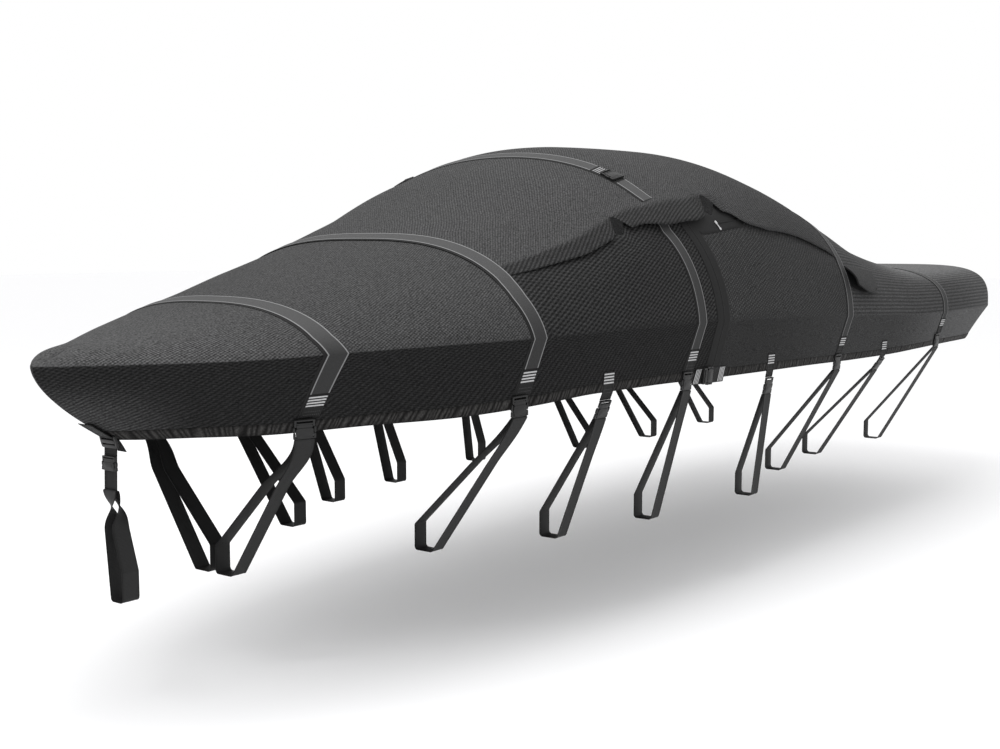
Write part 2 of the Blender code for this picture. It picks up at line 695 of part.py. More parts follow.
# ---------------------------------------------------------------- stem, slit, crown, vents
def stem_fittings(webbing_made):
    """The bow's own tab, on the centre line, and the tie-down loop below it."""
    spreads = np.linspace(STEM_SEWN_FROM, 2.0, 4)
    line = form(0.0, spreads)[:, (0, 2)]
    slope = np.gradient(line, axis=0)
    ups = np.stack([slope[:, 1], -slope[:, 0]], 1)
    ups = ups / np.linalg.norm(ups, axis=1, keepdims=True)
    sewn = line + ups * STEM_PROUD
    bend_z = np.linspace(sewn[-1, 1], STEM_END_Z, 5)[1:]
    share = (sewn[-1, 1] - bend_z) / (sewn[-1, 1] - STEM_END_Z)
    bend_x = sewn[-1, 0] + (STEM_HANG_X - sewn[-1, 0]) * share**STEM_CURVE
    path = np.concatenate([sewn, np.stack([bend_x, bend_z], 1)])
    run = np.gradient(path, axis=0)
    ups = np.stack([run[:, 1], -run[:, 0]], 1)
    ups = ups / np.linalg.norm(ups, axis=1, keepdims=True)
    sheets = []
    for lift in (WEBBING, 0.0):
        line = path + ups * lift
        sheets.append(np.array([[(x, y, z) for x, z in line] for y in (-HALF_WEB, HALF_WEB)]))
    slab("stem_tab", sheets[0], sheets[1], webbing_made)
    end = path[-1] + ups[-1] * WEBBING / 2
    foot = (end[0], 0.0, end[1] - LOOP_GAP - WEBBING)
    tie_loop("loop_stem", foot, (0.0, -1.0, 0.0), 0.0, STEM_HELD_OUT, -1.0, webbing_made,
             STEM_SPAN)


def slit_facing(name, sign, made):
    """Binding over the slit, with an arm that runs aft round the tower leg's opening."""
    arm = [-0.06, -0.02, TOWER_LEGS[1], 0.07, 0.11, 0.22]
    stations = [SLIT - FACING_HALF, SLIT - SEAM_GAP, SLIT + SEAM_GAP, SLIT + FACING_HALF] + arm
    samples = np.array([s for s in SPREADS if s >= TUCK_KNOT])
    keep = np.ones((len(stations) - 1, len(samples) - 1), bool)
    keep[3:, 2:] = False
    samples, keep = one_way(samples, sign), one_way(keep, sign)
    low = panel_grid(stations, samples, SEWN_GAP)
    high = panel_grid(stations, samples, SEWN_GAP + FACING_CLOTH)
    return slab(name, high, low, made, keep)


def closure(side, sign, webbing_made, buckle_made):
    """The strap and buckle that close the slit at the hem."""
    stations = (CLOSURE_FROM, SLIT - FACING_HALF, SLIT, SLIT + FACING_HALF, CLOSURE_TO)
    spreads = one_way(CLOSURE_SPREADS, sign)
    lift = SEWN_GAP + FACING_CLOTH + SEWN_GAP
    low, high = on_form(stations, spreads, lift), on_form(stations, spreads, lift + WEBBING)
    slab(f"closure_strap_{side}", high, low, webbing_made)
    middle = sum(CLOSURE_SPREADS[::3]) / 2 * sign
    row = row_at(CLOSURE_BUCKLE, middle)
    face = outward(row, middle)
    along = form(row_at(CLOSURE_BUCKLE + HALF_WEB, middle), middle)
    along = along - form(row_at(CLOSURE_BUCKLE - HALF_WEB, middle), middle)
    rise = lift + WEBBING + FIT_GAP * 2 + BUCKLE_THICK / 2
    buckle(f"buckle_closure_{side}", form(row, middle) + face * rise, along, face, buckle_made)


def crown_buckle(name, sign, made):
    """A buckle flat on the crown strap's straight run between two of its samples."""
    edges, samples = np.array(web(CROWN_STRAP))[:, None], np.array([CROWN_BUCKLE_RUN]) * sign
    lift = crown_lift(edges, samples) + CLOTH + SEWN_GAP + WEBBING
    run = raised(row_at(edges, samples), samples, lift)
    inner, outer = run.mean(axis=0)
    down = unit(outer - inner)
    face = unit(np.cross(run[1].mean(axis=0) - run[0].mean(axis=0), down)) * sign
    seat = inner + (outer - inner) * CROWN_BUCKLE_SHARE
    rise = ((run - seat) @ face).max() + FIT_GAP + BUCKLE_THICK / 2
    return buckle(name, seat + face * rise, down, face, made)


def vent(name, sign, made):
    """A hood sewn down along its top and aft edges, standing open in front and below."""
    aft = np.linspace(0, 1, 7)[:, None]
    down = np.linspace(0, 1, 6)[None, :]
    (x0, t0), (x1, t1), (x2, t2), (x3, t3) = VENT_CORNERS
    station = (x0 + (x1 - x0) * aft) * (1 - down) + (x3 + (x2 - x3) * aft) * down
    spread = (t0 + (t1 - t0) * aft) * (1 - down) + (t3 + (t2 - t3) * aft) * down
    rise = VENT_RISE * np.cos(aft * math.pi / 2) ** VENT_FLARE * np.sin(down * math.pi / 2)
    spread = spread * sign
    row = row_at(station, spread)
    low = raised(row, spread, SEWN_GAP + VENT_SEAT + rise)
    high = raised(row, spread, SEWN_GAP + VENT_SEAT + rise + CLOTH)
    return slab(name, high, low, made)


# ---------------------------------------------------------------- the cover
def clear_scene():
    for old in list(bpy.data.objects):
        bpy.data.objects.remove(old, do_unlink=True)


def build():
    clear_scene()
    top_cloth = material("cover_cloth_top", (0.105, 0.106, 0.108), 0.85)
    side_cloth = material("cover_cloth_side", (0.045, 0.046, 0.048), 0.85)
    bound = material("binding_cloth", (0.050, 0.050, 0.052), 0.80)
    strap_web = material("strap_webbing", (0.085, 0.086, 0.088), 0.70)
    tie_web = material("tie_down_webbing", (0.028, 0.028, 0.029), 0.65)
    plastic = material("buckle_plastic", (0.018, 0.018, 0.019), 0.45)

    panel("front_panel", front_stations(), FORE_STRAP + HALF_WEB, SLIT, (True, False), side_cloth)
    panel("aft_panel", aft_stations(), SLIT, AFT_STRAP - HALF_WEB, (False, True), side_cloth)
    slab("crown_panel", crown_grid(CLOTH), crown_grid(0.0), top_cloth)

    for name, station, end_above, held_out in STRAP_UNITS:
        place = hem_place(station)
        start = place.point - place.along * end_above
        hang_unit(name, station, start, place.along, held_out, tie_web, plastic)
        if station in (BOW_STRAP, STERN_STRAP):
            deck_strap(f"strap_{name}", station, end_above, strap_web)
        elif station in (FORE_STRAP, AFT_STRAP):
            seam_strap(f"strap_{name}", station, end_above, strap_web)
        else:
            for side, sign in SIDES:
                flank_strap(f"strap_{name}_{side}", station, end_above, sign, strap_web)

    for name, station, end_above, held_out in TAB_UNITS:
        place = hem_place(station)
        target = np.array((place.point[0], held_out - LOOP_SPAN / 2, LOOP_BOTTOM)) - place.point
        hang = unit(target - place.wide * (target @ place.wide))
        hang_unit(name, station, place.point - hang * end_above, hang, held_out, tie_web, plastic)
        for side, sign in SIDES:
            hem_tab(f"{name}_{side}", place, hang, -end_above, sign, tie_web)

    crown_strap("strap_crown", strap_web)
    stem_fittings(tie_web)
    for side, sign in SIDES:
        slit_facing(f"slit_facing_{side}", sign, bound)
        closure(side, sign, tie_web, plastic)
        crown_buckle(f"buckle_crown_{side}", sign, plastic)
        vent(f"vent_{side}", sign, side_cloth)


build()
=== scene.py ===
"""Looks of a fitted boat cover: woven cloth, over-straps, buckles and tie-down webbing.

Every piece is a surface worked out on one form, in metres: +X towards the
stern, +Y to starboard, +Z up, with the origin under the top of the crown.  A
place on the form has a station (metres along the cover) and a spread (0 at the
centre line, 1 at the side edge, 2 at the hem, negative to port).
"""

import math

import bmesh
import bpy
import numpy as np
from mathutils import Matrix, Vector


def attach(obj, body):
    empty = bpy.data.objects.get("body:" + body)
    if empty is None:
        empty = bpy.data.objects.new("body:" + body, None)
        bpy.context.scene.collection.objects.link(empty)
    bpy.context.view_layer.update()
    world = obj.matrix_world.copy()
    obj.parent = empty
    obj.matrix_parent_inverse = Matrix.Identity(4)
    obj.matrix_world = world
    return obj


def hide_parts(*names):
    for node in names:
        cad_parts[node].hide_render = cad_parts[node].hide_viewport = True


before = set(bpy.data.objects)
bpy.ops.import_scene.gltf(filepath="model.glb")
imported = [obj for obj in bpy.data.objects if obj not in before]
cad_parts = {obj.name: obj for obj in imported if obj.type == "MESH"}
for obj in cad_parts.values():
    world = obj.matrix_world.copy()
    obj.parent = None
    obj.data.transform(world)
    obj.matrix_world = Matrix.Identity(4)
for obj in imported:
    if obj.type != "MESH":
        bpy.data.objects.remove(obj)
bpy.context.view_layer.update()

# ---------------------------------------------------------------- camera, floor and light
LENS, SENSOR_WIDTH, FAR = 48.384, 36, 200
CAMERA_AT = (-5.9346, -4.1108, -0.4849)
HEADING = math.radians(37.47)
PITCH = math.radians(5.65)
FLOOR_Z, FLOOR_HALF, FLOOR_GLOW = -2.252, 60.0, 0.10


def stand_camera():
    """Camera at the photograph's place; it looks along its heading and a little down."""
    data = bpy.data.cameras.new("camera")
    data.lens = LENS
    data.sensor_width = SENSOR_WIDTH
    data.clip_end = FAR
    made = bpy.data.objects.new("camera", data)
    bpy.context.scene.collection.objects.link(made)
    ahead = Vector((math.cos(HEADING) * math.cos(PITCH), math.sin(HEADING) * math.cos(PITCH),
                    -math.sin(PITCH)))
    made.location = CAMERA_AT
    made.rotation_euler = ahead.to_track_quat("-Z", "Y").to_euler()
    bpy.context.scene.camera = made


def softbox(name, at, towards, size, power):
    """A rectangular area light at a place, turned towards another."""
    data = bpy.data.lights.new(name, "AREA")
    data.shape = "RECTANGLE"
    data.size, data.size_y = size
    data.energy = power
    made = bpy.data.objects.new(name, data)
    bpy.context.scene.collection.objects.link(made)
    made.location = at
    made.rotation_euler = (Vector(towards) - Vector(at)).to_track_quat("-Z", "Y").to_euler()


stand_camera()

# ---------------------------------------------------------------- the form
SECTION_COLUMNS = ("edge_x", "spine_x", "hem_back", "half_beam", "edge_z", "top_z",
                   "fullness", "roundness", "hem_half", "hem_z", "belly")
SECTIONS = np.array((
    (-3.235, -3.135, 0.315, 0.000, -0.918, -0.905, 3.0, 1.4, 0.000, -1.210, 0.060),
    (-3.175, -3.095, 0.300, 0.104, -0.915, -0.863, 3.0, 1.4, 0.080, -1.208, 0.055),
    (-2.980, -2.930, 0.250, 0.275, -0.913, -0.838, 2.9, 1.4, 0.215, -1.206, 0.035),
    (-2.700, -2.680, 0.160, 0.495, -0.908, -0.778, 2.8, 1.5, 0.390, -1.203, 0.015),
    (-2.280, -2.280, 0.070, 0.727, -0.888, -0.672, 2.5, 1.5, 0.626, -1.182, 0.005),
    (-1.900, -1.900, 0.020, 0.851, -0.880, -0.570, 2.8, 1.7, 0.810, -1.170, 0.000),
    (-1.520, -1.520, 0.000, 0.940, -0.875, -0.452, 2.8, 1.7, 0.915, -1.150, 0.000),
    (-1.150, -1.150, 0.000, 0.995, -0.870, -0.310, 2.3, 2.2, 0.968, -1.130, 0.000),
    (-0.750, -0.750, 0.000, 1.025, -0.866, -0.135, 2.0, 3.0, 0.998, -1.128, 0.000),
    (-0.280, -0.280, 0.000, 1.038, -0.864, -0.009, 2.2, 2.7, 1.012, -1.136, 0.000),
    (0.280, 0.280, 0.000, 1.050, -0.873, 0.002, 2.1, 3.2, 1.024, -1.143, 0.000),
    (0.850, 0.850, 0.000, 1.056, -0.888, -0.068, 2.1, 2.8, 1.030, -1.150, 0.000),
    (1.420, 1.420, 0.000, 1.060, -0.905, -0.262, 2.8, 2.2, 1.034, -1.160, 0.000),
    (1.980, 1.980, 0.000, 1.065, -0.926, -0.460, 3.2, 1.9, 1.038, -1.164, 0.000),
    (2.450, 2.450, 0.000, 1.069, -0.943, -0.586, 4.2, 2.1, 1.040, -1.158, 0.000),
    (2.950, 2.930, -0.050, 1.067, -0.946, -0.650, 5.0, 2.6, 1.038, -1.152, 0.000),
    (3.560, 3.470, -0.245, 1.054, -0.942, -0.650, 6.0, 2.9, 1.032, -1.149, 0.000),
    (3.950, 3.800, -0.490, 0.985, -0.942, -0.650, 7.0, 3.2, 0.968, -1.148, 0.000),
    (4.035, 3.890, -0.550, 0.810, -0.946, -0.652, 7.0, 3.0, 0.790, -1.147, 0.000),
    (4.060, 3.950, -0.570, 0.000, -0.948, -0.655, 7.0, 3.0, 0.000, -1.146, 0.000),
))
LAST_ROW = len(SECTIONS) - 1
BELLY_FORWARD, BELLY_SIDE, BELLY_HIGH = 0.7, 0.3, 0.7

# how far a station's line strays along the cover: high up, at the side edge and at the hem
HIGH_SPREAD = 0.74
LEAN_COLUMNS = ("station", "high", "edge", "hem")
LEAN = np.array((
    (-3.000, 0.000, 0.000, 0.000),
    (-2.430, 0.000, 0.020, -0.110),
    (-1.560, 0.000, 0.035, -0.060),
    (-1.300, 0.000, 0.030, -0.040),
    (-0.600, -0.130, 0.060, -0.070),
    (0.000, -0.130, 0.060, 0.000),
    (0.600, 0.000, 0.000, 0.000),
    (1.280, -0.020, 0.030, -0.100),
    (2.860, 0.000, -0.020, -0.110),
    (3.300, 0.000, 0.000, 0.000),
))
# the crown's side edge, the panels' edge under it, and how far the crown stands off them
LAP_COLUMNS = ("station", "lap", "tuck", "flare")
LAP = np.array((
    (-1.598, 0.620, 0.560, 0.000),
    (-1.522, 0.620, 0.560, 0.000),
    (-1.300, 0.650, 0.590, 0.007),
    (-1.040, 0.680, 0.620, 0.012),
    (-0.820, 0.690, 0.640, 0.010),
    (-0.590, 0.690, 0.640, 0.018),
    (-0.440, 0.730, 0.650, 0.034),
    (-0.160, 0.725, 0.650, 0.030),
    (-0.050, 0.700, 0.650, 0.014),
    (0.130, 0.700, 0.650, 0.012),
    (0.220, 0.765, 0.680, 0.018),
    (0.380, 0.790, 0.700, 0.015),
    (0.740, 0.770, 0.690, 0.012),
    (1.120, 0.770, 0.650, 0.007),
    (1.242, 0.770, 0.560, 0.000),
    (1.318, 0.770, 0.560, 0.000),
))
# the openings at the crown's side edge: half length, how far the edge is cut back, the panel's dip
OPENING_HALF, OPENING_NOTCH, OPENING_DIP = 0.085, 0.085, 0.050
OPENINGS_AT = (-0.755, 0.024)
LAP_SHIFTS = (-0.030, -0.015, 0.0, 0.015, 0.030)
CROWN_FIXED = 0.48
SLACK_STATIONS = (-1.52, -1.30, 1.10, 1.24)
SLACK_HEIGHTS = (0.0, 0.0025, 0.0025, 0.0)

# ---------------------------------------------------------------- sizes and stations
CLOTH = 0.002
THIN = 0.001
WEBBING = 0.002
WEBBING_WIDTH = 0.076
BUCKLE_LENGTH, BUCKLE_THICK = 0.086, 0.014
HALF_WEB = WEBBING_WIDTH / 2
SEWN_GAP = 0.0005
CROWN_GAP = 0.0008
FACING_HALF = 0.060
BOW_STRAP, FORE_STRAP, MID_STRAP, AFT_STRAP, STERN_STRAP = -2.43, -1.56, -0.42, 1.28, 2.86
FORE_TAB, MID_TAB, AFT_TAB = -1.03, 0.37, 1.96
CROWN_STRAP = -0.42
SLIT = -0.22
SIDES = (("port", -1.0), ("starboard", 1.0))


def smooth_rows(values, row):
    """A table column between its rows: a cubic whose slope at each row is the harmonic mean of
    the rises on both sides where they agree, and zero where they don't."""
    rise = np.diff(values)
    slope = np.zeros(len(values))
    same = rise[:-1] * rise[1:] > 0
    total = np.where(same, rise[:-1] + rise[1:], 1.0)
    slope[1:-1] = np.where(same, 2 * rise[:-1] * rise[1:] / total, 0.0)
    slope[0], slope[-1] = rise[0], rise[-1]
    low = np.clip(np.floor(row).astype(int), 0, len(values) - 2)
    step = row - low
    rest = 1 - step
    return ((1 + 2 * step) * rest**2 * values[low] + step * rest**2 * slope[low]
            + step**2 * (3 - 2 * step) * values[low + 1] - step**2 * rest * slope[low + 1])


def column(name, row):
    """A column of the form's table at any row."""
    return smooth_rows(SECTIONS[:, SECTION_COLUMNS.index(name)], row)


def unit(vectors):
    """Vectors at length one, along the last way of an array."""
    return vectors / np.linalg.norm(vectors, axis=-1, keepdims=True)


def run_of(path):
    """Running length along a path of points, from 0."""
    return np.concatenate([[0], np.cumsum(np.linalg.norm(np.diff(path, axis=0), axis=1))])


FINE_ROWS = np.linspace(0, LAST_ROW, 4001)
FINE_X = column("edge_x", FINE_ROWS)


def form(row, spread):
    """Across a section, out = sin(spread quarter turn) goes from 0 to the edge and the height
    follows (1 - out^fullness)^(1/roundness); below the edge it is a straight slope that
    bellies forward by a sine."""
    row, spread = np.broadcast_arrays(np.asarray(row, float), np.asarray(spread, float))
    out = np.sin(np.clip(abs(spread), 0, 1) * math.pi / 2)
    down = np.maximum(abs(spread) - 1, 0)
    arc = np.maximum(1 - out ** column("fullness", row), 0) ** (1 / column("roundness", row))
    edge_z, half = column("edge_z", row), column("half_beam", row)
    bulge = column("belly", row) * np.sin(math.pi * down**BELLY_HIGH)
    spine_x = column("spine_x", row)
    x = spine_x + (column("edge_x", row) - spine_x) * out + column("hem_back", row) * down
    y = half * out + (column("hem_half", row) - half) * down
    y = y + bulge * BELLY_SIDE * np.minimum(half / 0.1, 1)
    z = edge_z + (column("top_z", row) - edge_z) * arc + (column("hem_z", row) - edge_z) * down
    return np.stack([x - bulge * BELLY_FORWARD, np.sign(spread) * y, z - bulge * BELLY_SIDE], -1)


def table_value(table, columns, name, station):
    """A column of a table by station, straight between its rows."""
    return np.interp(station, table[:, 0], table[:, columns.index(name)])


def lap_value(name, station):
    """A column of the lap table, averaged over 60 mm of the cover so that its corners round off."""
    parts = [table_value(LAP, LAP_COLUMNS, name, station + shift) for shift in LAP_SHIFTS]
    return sum(parts) / len(parts)


def row_at(station, spread):
    """The form's row of a station, whose line leans between its three named places."""
    high, edge, hem = [table_value(LEAN, LEAN_COLUMNS, name, station) for name in LEAN_COLUMNS[1:]]
    spread = abs(np.asarray(spread, float))
    to_edge = np.clip((spread - HIGH_SPREAD) / (1 - HIGH_SPREAD), 0, 1)
    lean = high + (edge - high) * to_edge + (hem - edge) * np.clip(spread - 1, 0, None)
    return np.interp(station + lean, FINE_X, FINE_ROWS)


def outward(row, spread):
    """Unit normals: the cross product of small steps along the rows and the spreads."""
    small = 1e-3
    inner = np.clip(row, small, LAST_ROW - small)
    across = form(inner, spread + small) - form(inner, spread - small)
    along = form(inner + small, spread) - form(inner - small, spread)
    normal = np.cross(along, across)
    at_end = (np.asarray(row) < small) | (np.asarray(row) > LAST_ROW - small)
    normal[..., 1] = np.where(at_end, 0, normal[..., 1])
    return unit(normal)


def smooth(value, low, high):
    """0 below low, 1 above high, and a smooth cubic between them."""
    share = np.clip((value - low) / (high - low), 0, 1)
    return share**2 * (3 - 2 * share)


def hump(value, centre, half):
    """A cosine-squared hump, 1 at the centre and 0 past its half width."""
    return np.cos(np.clip(abs(value - centre) / half, 0, 1) * math.pi / 2) ** 2


def opening_hump(station):
    """1 at the middle of each opening at the crown's edge, 0 away from them."""
    return sum(hump(station, middle, OPENING_HALF) for middle in OPENINGS_AT)


def crown_edge(station):
    """The spread of the crown's side edge, cut back at its openings."""
    return lap_value("lap", station) - OPENING_NOTCH * opening_hump(station)


def tuck_edge(station):
    """The spread of the panels' edge under the crown."""
    return lap_value("tuck", station) + OPENING_DIP * opening_hump(station)


# soft unevenness of the taut cloth; each row is one long trough or swell on both flanks
FOLD_COLUMNS = ("station", "spread", "slant", "half_long", "half_wide", "height")
FOLDS = np.array((
    (-2.05, 1.45, 0.20, 0.42, 0.30, -0.0035),
    (-1.28, 1.50, -0.10, 0.26, 0.33, 0.0030),
    (-0.72, 1.42, 0.15, 0.24, 0.30, -0.0030),
    (0.10, 1.55, -0.12, 0.28, 0.30, 0.0028),
    (0.78, 1.40, 0.20, 0.40, 0.36, -0.0040),
    (1.62, 1.50, -0.25, 0.34, 0.32, 0.0034),
    (2.36, 1.42, 0.18, 0.42, 0.34, -0.0042),
    (3.30, 1.45, -0.10, 0.40, 0.36, 0.0040),
    (-2.00, 0.72, 0.15, 0.38, 0.16, -0.0045),
    (-1.08, 0.86, -0.12, 0.34, 0.09, -0.0040),
    (0.62, 0.90, 0.10, 0.48, 0.08, -0.0045),
    (1.95, 0.62, -0.20, 0.50, 0.16, -0.0055),
    (2.42, 0.86, 0.10, 0.36, 0.10, 0.0040),
    (3.36, 0.55, -0.10, 0.34, 0.22, -0.0045),
))
BOW_CALM, STERN_CALM = (-3.1, -2.8), (3.7, 3.9)


def relief(station, spread):
    """The sum of the folds: each a slanted hump, long way by short way."""
    size = abs(spread)
    total = sum(height * hump(station - slant * (size - level), at, long) * hump(size, level, wide)
                for at, level, slant, long, wide, height in FOLDS)
    return total * smooth(station, *BOW_CALM) * (1 - smooth(station, *STERN_CALM))


def raised(station, spread, lift):
    """Places on the cloth, relief and all, moved out along the form's normals by lift."""
    station, spread, lift = np.broadcast_arrays(station, spread, lift)
    row = row_at(station, spread)
    return form(row, spread) + outward(row, spread) * (lift + relief(station, spread))[..., None]


# folds of the crown's lap alone: a ridge ahead of the first opening, a swag between the two
CROWN_FOLD_COLUMNS = ("station", "reach", "half_long", "half_wide", "height")
CROWN_FOLDS = (
    (-1.10, 0.60, 0.40, 0.38, 0.010),
    (-0.36, 0.70, 0.28, 0.40, 0.008),
)


def reach_to(edge, spread):
    """0 inside the crown's fixed middle and 1 at an edge."""
    return np.clip((abs(spread) - CROWN_FIXED) / (edge - CROWN_FIXED), 0, 1)


def crown_reach(station, spread):
    """The reach to the crown's lap, as if the lap had no openings."""
    return reach_to(lap_value("lap", station), spread)


def crown_lift(station, spread):
    """Room under the crown: a sewn gap at its ends, slack between, and a lap that flares as
    the square of the reach, with its folds as humps."""
    reach = crown_reach(station, spread)
    folds = sum(height * hump(reach, level, wide) * hump(station, at, long)
                for at, level, long, wide, height in CROWN_FOLDS)
    flare = lap_value("flare", station) * reach_to(crown_edge(station), spread)**2
    return CROWN_GAP + np.interp(station, SLACK_STATIONS, SLACK_HEIGHTS) + flare + folds


# ---------------------------------------------------------------- meshes
def grid_quads(rows, cols, closed_rows=False, closed_cols=False):
    """Quads of a grid whose point (i, j) is number i * cols + j, wrapped round where closed."""
    i, j = np.meshgrid(np.arange(rows if closed_rows else rows - 1),
                       np.arange(cols if closed_cols else cols - 1), indexing="ij")
    near, far = i * cols, (i + 1) % rows * cols
    return np.stack([near + j, far + j, far + (j + 1) % cols, near + (j + 1) % cols], -1)


class Shape:
    """Points, faces and marks of one piece, gathered from several grids."""

    def __init__(self):
        self.points, self.faces, self.slots = [], [], []
        self.marks = {}
        self.count = 0

    def add(self, points, *faces, slot=0, **marks):
        """Points and arrays of faces over them; a mark is one number for each point, or for all."""
        flat = points.reshape(-1, 3)
        self.points.append(flat)
        for group in faces:
            self.faces.append(group.reshape(-1, group.shape[-1]) + self.count)
            self.slots.append(np.full(len(self.faces[-1]), slot, np.int32))
        for name, values in marks.items():
            full = np.broadcast_to(np.asarray(values, float), points.shape[:-1]).reshape(-1)
            self.marks.setdefault(name, []).append((self.count, full))
        self.count += len(flat)

    def sheet(self, points, slot=0, keep=None, side=1, **marks):
        """A grid of points with its quads; keep says which cells exist.  To port, where side is
        negative, the grid is turned over, so that it faces outwards there too."""
        turned = slice(None, None, -1 if side < 0 else 1)
        quads = grid_quads(*points.shape[:2])
        quads = quads if keep is None else quads[keep[:, turned]]
        marks = {name: np.broadcast_to(values, points.shape[:2])[:, turned] for name, values in marks.items()}
        self.add(points[:, turned], quads, slot=slot, **marks)

    def build(self, name, materials, thick=0.0, smooth_angle=40):
        """The piece as an object.  Points that no face uses are dropped; the marks u and v
        become its map, and the others its attributes."""
        points = np.concatenate(self.points)
        used = np.unique(np.concatenate([group.ravel() for group in self.faces]))
        order = np.zeros(len(points), int)
        order[used] = np.arange(len(used))
        faces = [face for group in self.faces for face in order[group].tolist()]
        mesh = bpy.data.meshes.new(name)
        mesh.from_pydata(points[used].tolist(), [], faces)
        corners = np.empty(len(mesh.loops), np.int32)
        mesh.loops.foreach_get("vertex_index", corners)
        values = {}
        for mark, parts in self.marks.items():
            whole = np.zeros(len(points))
            for start, part in parts:
                whole[start:start + len(part)] = part
            values[mark] = whole[used]
        layer = mesh.uv_layers.new(name="weave")
        pair = np.stack([values.get("u", points[used][:, 0]), values.get("v", points[used][:, 1])], 1)
        layer.data.foreach_set("uv", pair[corners].astype(np.float32).ravel())
        for mark in values:
            if mark not in ("u", "v"):
                mesh.attributes.new(mark, "FLOAT", "POINT").data.foreach_set("value", values[mark])
        mesh.polygons.foreach_set("material_index", np.concatenate(self.slots))
        for material in materials:
            mesh.materials.append(material)
        mesh.shade_smooth()
        mesh.set_sharp_from_angle(angle=math.radians(smooth_angle))
        mesh.update()
        piece = bpy.data.objects.new(name, mesh)
        bpy.context.scene.collection.objects.link(piece)
        if thick:
            wall = piece.modifiers.new("cloth_thickness", "SOLIDIFY")
            wall.thickness = thick
            wall.offset = -1
        return piece


def fit(piece, slot, *nodes):
    """The piece rides on the cover and stands for its CAD nodes; slot is not used."""
    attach(piece, "root")
    if nodes:
        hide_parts(*nodes)
    return piece


def girth(points):
    """Running length along the second way of a grid, from 0 at its first column."""
    step = np.linalg.norm(np.diff(points, axis=1), axis=-1)
    return np.concatenate([np.zeros((len(step), 1)), np.cumsum(step, axis=1)], axis=1)


def both_ways(values):
    """Values from 0 up, with their negatives before them."""
    return np.concatenate([-values[:0:-1], values])


# ---------------------------------------------------------------- finishes
class Value:
    """A socket that carries one number; each operator adds a Math node to its finish."""

    def __init__(self, finish, socket):
        self.finish, self.socket = finish, socket

    def __add__(self, other):
        return self.finish.math("ADD", self, other)

    def __sub__(self, other):
        return self.finish.math("SUBTRACT", self, other)

    def __rsub__(self, other):
        return self.finish.math("SUBTRACT", other, self)

    def __mul__(self, other):
        return self.finish.math("MULTIPLY", self, other)

    def __truediv__(self, other):
        return self.finish.math("DIVIDE", self, other)

    __radd__ = __add__
    __rmul__ = __mul__

    def sine(self):
        return self.finish.math("SINE", self)

    def size(self):
        return self.finish.math("ABSOLUTE", self)

    def fraction(self):
        return self.finish.math("FRACT", self)

    def clipped(self):
        """Kept between 0 and 1."""
        return self.finish.math("MINIMUM", self.finish.math("MAXIMUM", self, 0.0), 1.0)

    def over(self, low, high):
        """0 below low and 1 above high, smoothly."""
        sockets = {"Value": self, "From Min": low, "From Max": high}
        node = self.finish.node("ShaderNodeMapRange", {"interpolation_type": "SMOOTHSTEP"}, sockets)
        return Value(self.finish, node.outputs["Result"])

    def band(self, low, high, soft):
        """1 between low and high, with soft edges."""
        return self.over(low - soft, low + soft) * (1 - self.over(high - soft, high + soft))


